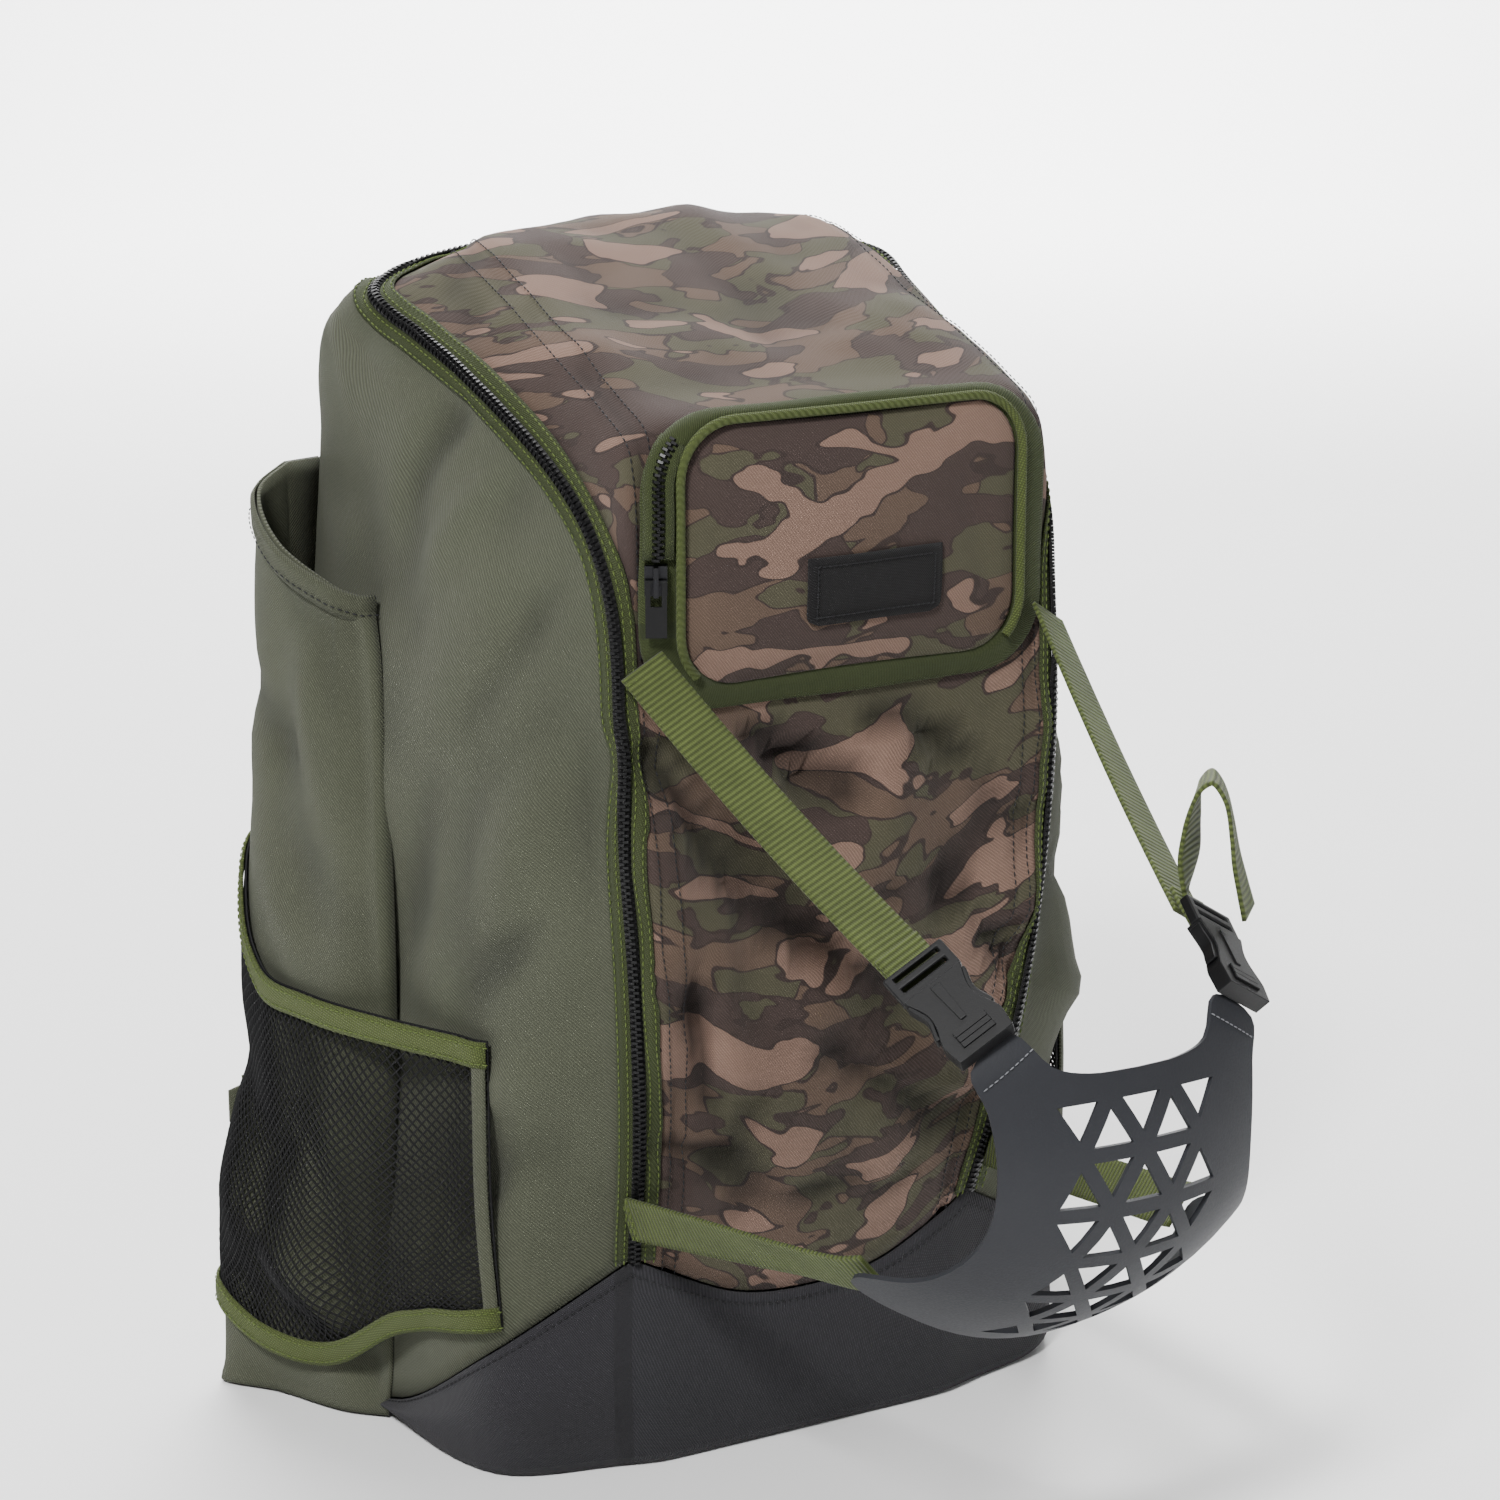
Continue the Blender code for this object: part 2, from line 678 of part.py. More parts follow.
def face_rings(rim):
    """Rings from a pocket face's rim to its crowned middle."""
    middle = rim.mean(axis=0)
    rings = []
    for share in (1.0, 0.93, 0.6, 0.25):
        ring = middle + (rim - middle) * share
        ring[:, 1] -= POCKET_CROWN * (1 - share**2)
        rings.append(ring)
    return np.stack(rings)


def add_pocket():
    root, rim = pocket_rings()
    back = rim + (0, (CLOTH + SEAT) / 2, 0)
    sheet("pocket_gusset", np.stack([root, back]), CLOTH, "olive_webbing", True, closed=True)
    inset = PIPING_INSET + PIPING_RADIUS + 2 * SEAT
    rings = face_rings(toward(rim, rim.mean(axis=0), inset))
    rings = rings - (0, PIPING_RADIUS, 0)
    sheet("pocket_face", rings, CLOTH, "camo_fabric", closed=True, cap="last")
    first = toward(rim, rim.mean(axis=0), PIPING_INSET) - (0, PIPING_RADIUS + SEAT, 0)
    corner = 2 * RING_STEPS + 1
    path = np.concatenate([first[corner + RING_STEPS // 2:], first[:RING_STEPS // 2 + 1]])
    tube("pocket_piping", path, PIPING_RADIUS, "olive_webbing")
    return root, back, rings


def add_pocket_coil(root, rim):
    """The pocket zip's coil on the left gusset, from the upper corner down to the slider."""
    upper = 3 * (2 * RING_STEPS + 1)
    middle = (root + rim) / 2
    clear = SLIDER_Z + SLIDER_LENGTH / 2 + SEAM_GAP
    picked = [k for k in range(upper + 1, len(rim)) if middle[k, 2] > clear]
    middle = middle[picked]
    across = unit(rim[picked] - root[picked])
    along = unit(np.gradient(middle, axis=0))
    facing = unit(np.cross(across, along))
    facing *= -np.sign(facing[:, 1:2])
    base = middle + facing * (CLOTH + SIDE_SEAT)
    grid = np.stack([base - across * COIL_HALF, base + across * COIL_HALF])
    if np.mean(grid_normals(grid)[..., 1]) > 0:
        grid = grid[::-1]
    sheet("pocket_zip_coil", grid, COIL_THICK, "black_plastic", outside=True)
    return middle, across, facing


def box_into(work, size, place):
    """A box of this size added to a bmesh, its middle at place."""
    made = bmesh.ops.create_cube(work, size=1.0)["verts"]
    bmesh.ops.scale(work, vec=size, verts=made)
    bmesh.ops.translate(work, vec=place, verts=made)


def add_slider(frame):
    """The slider: a block on the coil with a bridge that the puller's bar passes under."""
    work = bmesh.new()
    box_into(work, (SLIDER_WIDTH, SLIDER_LENGTH, SLIDER_THICK), (0, 0, SLIDER_THICK / 2))
    body = work_object("zip_slider", work, "dark_metal")
    work = bmesh.new()
    top = SLIDER_THICK + BRIDGE_RISE + BRIDGE_THICK
    box_into(work, (BRIDGE_WIDTH, SLIDER_LENGTH, top), (0, 0, top / 2))
    bridge = work_object("bridge_block", work, "dark_metal", CUTTERS)
    work = bmesh.new()
    hole = SLIDER_LENGTH - 2 * BRIDGE_THICK
    box_into(work, (2 * BRIDGE_WIDTH, hole, BRIDGE_RISE), (0, 0, SLIDER_THICK + BRIDGE_RISE / 2))
    opening = work_object("bridge_opening", work, "dark_metal", CUTTERS)
    for cutter, operation in ((bridge, "UNION"), (opening, "DIFFERENCE")):
        cutter.hide_render = True
        cutter.display_type = "WIRE"
        cut = body.modifiers.new(cutter.name, "BOOLEAN")
        cut.operation = operation
        cut.object = cutter
    for piece in (body, bridge, opening):
        piece.matrix_world = frame


def work_object(name, work, finish, collection=None):
    mesh = bpy.data.meshes.new(name)
    work.to_mesh(mesh)
    work.free()
    if collection is None:
        return add_mesh(name, mesh, finish)
    made = bpy.data.objects.new(name, mesh)
    collection.objects.link(made)
    return made


def add_puller(frame):
    """The puller: a bar under the bridge, an eye round it and a tab that hangs from it."""
    half = PULLER_WIDTH / 2
    arm = (PULLER_WIDTH - PULLER_BAR - BRIDGE_WIDTH) / 2
    outline = ((-half, PULLER_THICK / 2), (-half, -PULLER_LENGTH), (half, -PULLER_LENGTH),
               (half, PULLER_THICK / 2))
    inner = half - arm
    hole = ((-inner, -PULLER_THICK / 2), (-inner, -PULLER_EYE), (inner, -PULLER_EYE),
            (inner, -PULLER_THICK / 2))
    puller = flat_plate("zip_puller", outline, (hole,), PULLER_THICK, "black_plastic")
    lift = Matrix.Translation((0, 0, SLIDER_THICK + BRIDGE_RISE / 2))
    puller.matrix_world = frame @ lift


def add_label(rings):
    middle = np.broadcast_to(rings[-1].mean(axis=0), rings[-1].shape)
    whole = np.concatenate([rings, middle[None]])
    face = tree_of(np.concatenate([whole, whole[:, :1]], axis=1))
    xs = np.linspace(LABEL_X - LABEL_WIDTH / 2, LABEL_X + LABEL_WIDTH / 2, 5)
    zs = np.linspace(LABEL_Z - LABEL_HEIGHT / 2, LABEL_Z + LABEL_HEIGHT / 2, 3)
    grid = np.array([
        [cast(face, (x, -3 * BODY_DEPTH, z), (0, 1, 0), SEAT) for x in xs] for z in zs
    ])
    sheet("label", grid, LABEL_THICK, "black_plastic", outside=True)


def side_net(rows, reach, height):
    return np.array([
        [(HALF + reach * s.out, BODY_DEPTH * (0.5 - s.forward), height * s.up) for s in row]
        for row in rows
    ])


def clear_of_side(grid, gap):
    """Moves out any point of the grid, apart from its seams, that is near the bag's side."""
    for row in grid:
        for spot in row[1:-1]:
            spot[0] = max(spot[0], on_side(spot[1], spot[2], gap)[0])


def add_sleeve():
    """The open-topped side sleeve, sewn to the body's side along its two upright seams."""
    grid = dense(side_net(SLEEVE_ROWS, SLEEVE_REACH, SLEEVE_HEIGHT), 2, 2)
    for row in grid:
        for end in (0, -1):
            row[end] = on_side(*row[end][1:], SIDE_SEAT)
    floor = np.array([on_side(y, z, 2 * SIDE_SEAT) for y, z in grid[0][:, 1:]])
    floor[[0, -1]] = toward(grid[0][[0, -1]], floor[[1, -2]], SIDE_SEAT)
    both_sides("sleeve", np.concatenate([floor[None], grid]), SLEEVE_CLOTH, "green_fabric")


def add_mesh_pocket():
    """The mesh pocket round the sleeve's foot, with an elastic binding on both edges."""
    grid = dense(side_net(MESH_ROWS, MESH_REACH, MESH_HEIGHT), 2, 2)
    for row in grid:
        row[0] = on_side(row[0][1], row[0][2], SIDE_SEAT)
    beside = grid[:, 0] + 0.25 * (grid[:, 1] - grid[:, 0])
    grid = np.insert(grid, 1, beside, axis=1)
    clear_of_side(grid, 3 * SIDE_SEAT)
    both_sides("mesh_pocket", grid, MESH_THICK, "black_mesh")
    normals = grid_normals(grid)
    lift = MESH_THICK + 2 * SEAT
    columns = np.swapaxes(grid, 0, 1)
    for name, edge, inner in (
        ("top_binding", -1, walk(columns[:, ::-1], BINDING_WIDTH)),
        ("bottom_binding", 0, walk(columns, BINDING_WIDTH)),
    ):
        low, high = (inner, grid[edge]) if edge else (grid[edge], inner)
        band = (np.stack([low, high]) + normals[edge] * lift)[:, 1:]
        both_sides(name, band, BINDING_THICK, "olive_webbing")


def carrier_point(across, down, out):
    """Bends a point of the flat carrier sheet to its place on the bowl."""
    table = np.array(CARRIER_BEND)
    back = np.interp(down, table[:, 0], table[:, 1])
    drop = np.interp(down, table[:, 0], table[:, 2])
    step = 0.012
    ahead = [np.interp(down + step, table[:, 0], table[:, k]) for k in (1, 2)]
    behind = [np.interp(down - step, table[:, 0], table[:, k]) for k in (1, 2)]
    slope = unit(np.array(ahead) - np.array(behind))
    facing = np.array([0.0, -slope[1], -slope[0]])
    share = np.clip(down / table[-2, 0], 0, 1)
    radius = BOWL_RADIUS_TOP + (BOWL_RADIUS_LOW - BOWL_RADIUS_TOP) * share
    turn = across / radius
    place = np.array([0.0, FRONT_Y - CARRIER_OUT + back, CARRIER_TOP - drop])
    place = place - facing * radius * (1 - math.cos(turn))
    place[0] = radius * math.sin(turn)
    return place + out * (facing * math.cos(turn) + np.array([math.sin(turn), 0, 0]))


def lattice_holes():
    """The triangular holes of the carrier: rows of alternating up and down triangles."""
    row_height = LATTICE_SIDE * math.sqrt(3) / 2
    inset = LATTICE_BAR / 2
    top = 0.010
    holes = []
    for row in range(LATTICE_ROWS):
        for column in range(-LATTICE_HALF_COLUMNS, LATTICE_HALF_COLUMNS + 1):
            points_down = (row + column) % 2 == 0
            middle = column * LATTICE_SIDE / 2
            flat = top + row * row_height + (0 if points_down else row_height)
            way = 1 if points_down else -1
            wide = LATTICE_SIDE / 2 - inset * math.sqrt(3)
            near = flat + way * inset
            tip = flat + way * (row_height - 2 * inset)
            holes.append(((middle - wide, near), (middle + wide, near), (middle, tip)))
    return holes


def add_carrier():
    """The carrier: a flat pierced sheet with four arms, bent into a bowl."""
    right = [(p.across * CARRIER_HALF / 0.058, p.down) for p in CARRIER_OUTLINE]
    outline = right + [(-x, y) for x, y in reversed(right[1:-1])]
    plate = flat_plate("carrier", outline, lattice_holes(), CARRIER_THICK, "carrier_sheet")
    work = bmesh.new()
    work.from_mesh(plate.data)
    cuts = [((x, 0, 0), (1, 0, 0)) for x in np.arange(-0.075, 0.08, 0.0250)]
    cuts += [((0, y, 0), (0, 1, 0)) for y in np.arange(0.018, 0.150, 0.022)]
    for place, facing in cuts:
        parts = work.verts[:] + work.edges[:] + work.faces[:]
        bmesh.ops.bisect_plane(work, geom=parts, dist=1e-5, plane_co=place, plane_no=facing)
    for vert in work.verts:
        vert.co = Vector(carrier_point(*vert.co))
    bmesh.ops.triangulate(work, faces=work.faces)
    bmesh.ops.recalc_face_normals(work, faces=work.faces)
    work.to_mesh(plate.data)
    work.free()


def frame_of(place, along, facing):
    """A matrix whose Y runs along, whose Z faces out and whose origin is at place."""
    y = Vector(along).normalized()
    x = y.cross(Vector(facing)).normalized()
    z = x.cross(y)
    return Matrix.Translation(Vector(place)) @ Matrix((x, y, z)).transposed().to_4x4()


def add_buckle(name, place, along, facing):
    """A fastened side-release buckle: its waist shows between the two bars."""
    w, l = BUCKLE_WIDTH / 2, BUCKLE_LENGTH / 2
    half = ((w, l), (w, 0.45 * l), (0.82 * w, 0.35 * l), (0.82 * w, -0.25 * l),
            (w, -0.35 * l), (0.9 * w, -l))
    outline = list(half) + [(-x, y) for x, y in reversed(half)]
    slot = ((0.7 * w, 0.86 * l), (0.7 * w, 0.68 * l), (-0.7 * w, 0.68 * l), (-0.7 * w, 0.86 * l))
    buckle = flat_plate(name, outline, (slot,), BUCKLE_THICK, "black_plastic")
    rounding = buckle.modifiers.new("Edges", "BEVEL")
    rounding.width = 0.001
    rounding.segments = 1
    buckle.matrix_world = frame_of(place, along, facing)


def add_carrier_straps():
    """The straps from the bag to the carrier's four arms, with a buckle on each upper one."""
    bowl = np.array([0.0, FRONT_Y - 0.60 * CARRIER_OUT, 0.75 * CARRIER_TOP])
    arm = carrier_point(CARRIER_HALF * 0.95, UPPER_ARM_DOWN, 0)
    anchor = on_front(UPPER_ANCHOR_X, UPPER_ANCHOR_Z, UPPER_ANCHOR_LIFT)
    way = unit(arm - anchor)
    socket = arm - way * BUCKLE_LENGTH
    ends = np.linspace(anchor, socket, 7)
    facing = unit(ends - bowl)
    middle = (socket + arm) / 2 + unit((socket + arm) / 2 - bowl) * BUCKLE_RISE
    low_anchor = on_front(LOW_ANCHOR_X, LOW_ANCHOR_Z, LOW_ANCHOR_LIFT)
    low_end = carrier_point(LOW_ARM_ACROSS, LOW_ARM_DOWN, 0)
    arm_facing = unit(carrier_point(LOW_ARM_ACROSS, LOW_ARM_DOWN, 1) - low_end)
    low_end = low_end - arm_facing * (CARRIER_THICK / 2 + STRAP_THICK / 2 + 3 * SEAT)
    flush = low_anchor - low_end
    flush = low_end + unit(flush - arm_facing * (flush @ arm_facing)) * STRAP_WIDTH * 0.7
    low = np.concatenate([[low_end], np.linspace(flush, low_anchor, 5)])
    low_facing = np.array([arm_facing, arm_facing, *np.linspace(arm_facing, LOW_FACING, 4)])
    low, low_facing = low[::-1], unit(low_facing[::-1])
    for side, turn in (("right", 1), ("left", -1)):
        flip = np.array([turn, 1, 1])
        strap(f"upper_strap_{side}", ends * flip, facing * flip, STRAP_WIDTH, STRAP_THICK)
        add_buckle(f"buckle_{side}", middle * flip, -way * flip, facing[-1] * flip)
        strap(f"lower_strap_{side}", low * flip, low_facing * flip, STRAP_WIDTH, STRAP_THICK)
    off = socket + facing[-1] * (STRAP_THICK + SIDE_SEAT) - way * 0.010
    out = unit(facing[-1] * (1, 1, 0))
    loop = spline(np.array(TAIL_LOOP)[:, :2], 13)
    twist = spline(np.array(TAIL_LOOP)[:, 2:], 13)
    tail = off + loop[:, :1] * out + loop[:, 1:] * np.array((0, 0, 1))
    tail_facing = np.cross(np.cross((0, 0, 1), out) + twist * out, np.gradient(tail, axis=0))
    strap("strap_tail", tail, tail_facing, STRAP_WIDTH, STRAP_THICK)


def add_back():
    """The back pad, the shoulder straps with their webbing and tabs, and the haul loop."""
    work = bmesh.new()
    bmesh.ops.create_cube(work, size=1.0)
    bmesh.ops.scale(work, vec=(PAD_WIDTH, PAD_THICK, PAD_HEIGHT), verts=work.verts)
    pad = work_object("back_pad", work, "black_mesh")
    pad.location = (0, BACK_Y + SEAT + PAD_THICK / 2, 0.075 + PAD_HEIGHT / 2)
    rounding = pad.modifiers.new("Edges", "BEVEL")
    rounding.width = PAD_THICK / 3
    rounding.segments = 2
    clear = BACK_Y + SEAT + PAD_THICK
    thick = SHOULDER_THICK
    path = np.array([
        (0.052, BACK_Y + thick / 2 + SEAT, 0.446),
        (0.056, clear + 0.006 + thick, 0.430),
        (0.064, clear + 0.022, 0.390),
        (0.078, clear + 0.030, 0.300),
        (0.098, clear + 0.024, 0.220),
        (0.120, clear + 0.008, 0.165),
    ])
    out = np.tile((0.0, 1.0, 0.0), (13, 1))
    shoulder = spline(path, 13)
    tab_y = BACK_Y + SEAT + STRAP_THICK / 2
    down = unit(shoulder[-1] - shoulder[-2]) * 1.2
    webbing = spline(np.array([
        shoulder[-1] + down * SIDE_SEAT, shoulder[-1] + down * STRAP_WIDTH / 2,
        (0.142, BACK_Y + 0.014, 0.140),
        (0.168, tab_y + STRAP_THICK + SEAT, 0.122), (0.178, tab_y + STRAP_THICK + SEAT, 0.120),
    ]), 7)
    loop = spline(np.array([
        (-0.040, BACK_Y + 0.002, 0.458), (-0.034, BACK_Y + 0.014, 0.480),
        (0.0, BACK_Y + 0.022, 0.488), (0.034, BACK_Y + 0.014, 0.480), (0.040, BACK_Y + 0.002, 0.458),
    ]), 11)
    strap("haul_loop", loop, np.tile((0.0, 1.0, 0.0), (11, 1)), WEBBING_WIDTH / 2, 0.003)
    for side, turn in (("right", 1), ("left", -1)):
        flip = np.array([turn, 1, 1])
        strap(f"shoulder_strap_{side}", shoulder * flip, out, SHOULDER_WIDTH, thick,
              "black_mesh")
        strap(f"lower_webbing_{side}", webbing * flip, out[:7], WEBBING_WIDTH, STRAP_THICK)
        reach = -turn * TAB_SIDE * 1.2
        corners = ((0, -TAB_SIDE / 2), (reach, -TAB_SIDE / 6), (reach, TAB_SIDE / 6),
                   (0, TAB_SIDE / 2))
        tab = flat_plate(f"anchor_tab_{side}", corners, (), STRAP_THICK, "olive_webbing")
        tab.matrix_world = frame_of((turn * (HALF - 0.017), tab_y, TAB_Z), (0, 0, 1), (0, 1, 0))


clear_scene()
BAG = make_collection("baseball_backpack")
CUTTERS = make_collection("cutters", is_cutters=True)
FRONT, BODY = body_grids()
BASE = base_grid(FRONT, BODY)
SKIN = tree_of(FRONT, BODY, np.concatenate([BASE, BASE[:, :1]], axis=1))

sheet("base", BASE, BASE_WALL, "base_fabric", closed=True, cap="first")
add_shells(FRONT, BODY)
add_main_zip(FRONT, BODY)
ROOT, RIM, RINGS = add_pocket()
COIL_MIDDLE, COIL_ACROSS, COIL_FACING = add_pocket_coil(ROOT, RIM)
MIDDLE = np.array([np.interp(-SLIDER_Z, -COIL_MIDDLE[:, 2], COIL_MIDDLE[:, k]) for k in range(3)])
MIDDLE[2] = SLIDER_Z
SLIDER_FRAME = frame_of(MIDDLE + COIL_FACING[-1] * (CLOTH + SIDE_SEAT), (0, 0, 1), COIL_FACING[-1])
add_slider(SLIDER_FRAME)
add_puller(SLIDER_FRAME)
add_label(RINGS)
add_sleeve()
add_mesh_pocket()
add_carrier()
add_carrier_straps()
add_back()
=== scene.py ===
"""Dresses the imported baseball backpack: soft shells, nets, webbing, zips and finishes.

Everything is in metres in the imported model's frame: +Z up, the bag's front towards -Y.
"""
import math

import bmesh
import bpy
import numpy as np
from mathutils import Matrix, Vector, noise
from mathutils.bvhtree import BVHTree


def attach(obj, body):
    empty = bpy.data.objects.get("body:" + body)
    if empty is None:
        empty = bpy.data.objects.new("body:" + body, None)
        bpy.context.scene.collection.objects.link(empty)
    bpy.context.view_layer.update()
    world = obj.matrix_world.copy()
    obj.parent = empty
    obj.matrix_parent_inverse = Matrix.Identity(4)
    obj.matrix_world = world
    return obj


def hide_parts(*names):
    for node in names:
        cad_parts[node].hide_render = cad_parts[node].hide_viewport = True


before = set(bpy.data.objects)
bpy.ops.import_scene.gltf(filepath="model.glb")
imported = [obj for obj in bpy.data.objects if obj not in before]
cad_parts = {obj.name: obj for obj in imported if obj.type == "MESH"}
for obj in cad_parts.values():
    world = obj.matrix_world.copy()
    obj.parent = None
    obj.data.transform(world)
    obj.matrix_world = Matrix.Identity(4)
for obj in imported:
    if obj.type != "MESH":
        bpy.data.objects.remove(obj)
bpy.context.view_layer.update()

# Body: the height of the roof, the depth and width at the base, and the dark boot's front height
BAG_HEIGHT = 0.514
BODY_DEPTH = 0.191
BODY_WIDTH = 0.300
BASE_HEIGHT = 0.097
CORNER_ROUND = 0.014

# Walls and clearances
CLOTH = 0.002
BASE_WALL = 0.0025
SOLE_LIP = 0.006
SEAM_GAP = 0.0008
SEAT = 0.0004
SIDE_SEAT = 0.0009

# Zips
COIL_HALF = 0.0026
TAPE_HALF = 0.0092
TAPE_THICK = 0.0009

# Front pocket
POCKET_WIDTH = 0.160
POCKET_HEIGHT = 0.110
POCKET_TOP = 0.460
POCKET_CORNER = 0.024
POCKET_FLARE = 0.013
POCKET_PROUD = 0.007
POCKET_CROWN = 0.004
PIPING_RADIUS = 0.002
PIPING_INSET = 0.0008
LABEL_WIDTH = 0.063
LABEL_HEIGHT = 0.028
LABEL_X = 0.007
LABEL_Z = 0.387

# Zip slider and its puller
SLIDER_Z = 0.398
SLIDER_LENGTH = 0.012

# Side sleeves and mesh pockets
SLEEVE_HEIGHT = 0.413
SLEEVE_REACH = 0.055
SLEEVE_CLOTH = 0.0015
MESH_HEIGHT = 0.250
MESH_REACH = 0.055
MESH_THICK = 0.0012
BINDING_WIDTH = 0.011

# Carrier and the straps that hold it
CARRIER_THICK = 0.002
CARRIER_OUT = 0.2465
CARRIER_TOP = 0.250
CARRIER_HALF = 0.058
LATTICE_SIDE = 0.0265
LATTICE_BAR = 0.0058
LATTICE_TOP = 0.010
LATTICE_ROWS = 6
LATTICE_HALF_COLUMNS = 2
STRAP_WIDTH = 0.020
STRAP_THICK = 0.0016
BUCKLE_WIDTH = 0.027
BUCKLE_LENGTH = 0.046

# Back: pad, shoulder straps and their webbing
PAD_WIDTH = 0.210
PAD_HEIGHT = 0.340
PAD_THICK = 0.014
SHOULDER_WIDTH = 0.062
SHOULDER_THICK = 0.010
WEBBING_WIDTH = 0.025
TAB_SIDE = 0.045
PAD_FOOT = 0.075
PAD_CORNER = 0.028

# Lines up the bag, foot to top: the share of BASE_HEIGHT where a line starts, then rows of (out,
# forward, rise). out is a share of BODY_WIDTH / 2, forward a share of BODY_DEPTH from the back
# face, and rise a share of the height above the line's own foot.
ZIP_LINE = 1.0, (
    (0.55, 1.010, 0.000), (0.59, 1.105, 0.151), (0.63, 1.160, 0.307), (0.67, 1.168, 0.511),
    (0.67, 1.150, 0.667), (0.69, 1.095, 0.750), (0.71, 0.953, 0.805), (0.74, 0.759, 0.850),
    (0.77, 0.550, 0.887), (0.81, 0.340, 0.916), (0.83, 0.220, 0.934), (0.71, 0.136, 0.950),
)
SEAM_LINE = 0.93, (
    (0.46, 1.026, 0.000), (0.50, 1.135, 0.165), (0.55, 1.185, 0.318), (0.60, 1.190, 0.519),
    (0.61, 1.165, 0.679), (0.61, 1.158, 0.845), (0.61, 1.030, 0.878), (0.61, 0.817, 0.912),
    (0.60, 0.576, 0.949), (0.59, 0.346, 0.982), (0.56, 0.220, 0.984), (0.54, 0.126, 0.963),
)
MIDDLE_LINE = 0.72, (
    (0.0, 1.030, 0.000), (0.0, 1.155, 0.176), (0.0, 1.200, 0.346), (0.0, 1.200, 0.538),
    (0.0, 1.165, 0.719), (0.0, 1.170, 0.868), (0.0, 1.037, 0.892), (0.0, 0.796, 0.934),
    (0.0, 0.550, 0.973), (0.0, 0.325, 1.000), (0.0, 0.199, 0.998), (0.0, 0.105, 0.976),
)
HIP_LINE = 0.60, (
    (0.93, 0.900, 0.000), (0.94, 0.910, 0.154), (0.93, 0.900, 0.300), (0.93, 0.880, 0.476),
    (0.91, 0.827, 0.607), (0.90, 0.759, 0.689), (0.89, 0.670, 0.756), (0.89, 0.550, 0.808),
    (0.88, 0.419, 0.854), (0.87, 0.272, 0.893), (0.86, 0.150, 0.924), (0.66, 0.126, 0.954),
)
SIDE_LINE = 0.12, (
    (1.03, 0.524, 0.000), (1.03, 0.513, 0.160), (1.01, 0.503, 0.298), (1.00, 0.492, 0.448),
    (0.99, 0.471, 0.576), (0.97, 0.445, 0.664), (0.95, 0.393, 0.730), (0.93, 0.325, 0.784),
    (0.91, 0.251, 0.838), (0.89, 0.168, 0.886), (0.85, 0.105, 0.921), (0.60, 0.120, 0.961),
)
CORNER_LINE = 0.10, (
    (1.00, 0.000, 0.000), (1.00, 0.000, 0.126), (1.00, 0.000, 0.253), (1.00, 0.000, 0.391),
    (0.99, 0.000, 0.520), (0.99, 0.000, 0.618), (0.97, 0.000, 0.697), (0.95, 0.000, 0.760),
    (0.93, 0.000, 0.815), (0.88, 0.000, 0.871), (0.77, 0.010, 0.921), (0.50, 0.115, 0.963),
)

# Side sleeve: each row goes round from its front seam to its back seam in spots of (out, forward,
# up). out is a share of SLEEVE_REACH beyond the body's half width, forward of BODY_DEPTH, and up
# of SLEEVE_HEIGHT. The net over it is laid out in the same way, by MESH_REACH and MESH_HEIGHT.
SLEEVE_ROWS = (
    ((0.1, 0.51, 0.004), (0.38, 0.43, 0.004), (0.69, 0.26, 0.004), (1.00, 0.125, 0.004),
     (0.1, 0.02, 0.004)),
    ((0.1, 0.54, 0.07), (0.36, 0.45, 0.07), (0.65, 0.27, 0.07), (0.94, 0.105, 0.07),
     (0.1, 0.01, 0.07)),
    ((0.1, 0.56, 0.22), (0.38, 0.46, 0.22), (0.62, 0.29, 0.22), (0.84, 0.095, 0.22),
     (0.1, 0.01, 0.22)),
    ((0.1, 0.57, 0.41), (0.40, 0.47, 0.41), (0.60, 0.29, 0.41), (0.69, 0.115, 0.41),
     (0.1, 0.01, 0.41)),
    ((0.1, 0.55, 0.63), (0.38, 0.46, 0.63), (0.57, 0.29, 0.63), (0.58, 0.130, 0.63),
     (0.1, 0.01, 0.63)),
    ((0.0, 0.48, 0.82), (0.31, 0.42, 0.82), (0.49, 0.28, 0.83), (0.47, 0.125, 0.84),
     (0.0, 0.01, 0.86)),
    ((0.0, 0.42, 0.89), (0.22, 0.39, 0.905), (0.47, 0.27, 0.94), (0.40, 0.115, 0.98),
     (0.0, 0.02, 1.00)),
)
MESH_ROWS = (
    ((-0.2, 0.925, 0.28), (0.16, 0.67, 0.22), (0.44, 0.43, 0.10), (0.84, 0.25, 0.10),
     (1.12, 0.09, 0.16)),
    ((-0.2, 0.925, 0.42), (0.22, 0.68, 0.38), (0.56, 0.43, 0.34), (0.85, 0.23, 0.34),
     (1.03, 0.08, 0.37)),
    ((-0.2, 0.920, 0.60), (0.26, 0.68, 0.56), (0.60, 0.43, 0.56), (0.80, 0.23, 0.57),
     (0.88, 0.08, 0.60)),
    ((-0.2, 0.910, 0.79), (0.24, 0.67, 0.79), (0.56, 0.43, 0.79), (0.72, 0.25, 0.81),
     (0.76, 0.10, 1.00)),
)

# The free tail's loop from where it leaves the buckle: how far out to the side and up, and how
# much its width is turned that way
TAIL_LOOP = (
    (0.0000, 0.000, 0.00), (0.0005, 0.018, 0.40), (0.0030, 0.042, 0.10), (0.0085, 0.048, 0.00),
    (0.0145, 0.038, 0.00), (0.0185, 0.016, 0.10), (0.0240, -0.006, 0.20),
)

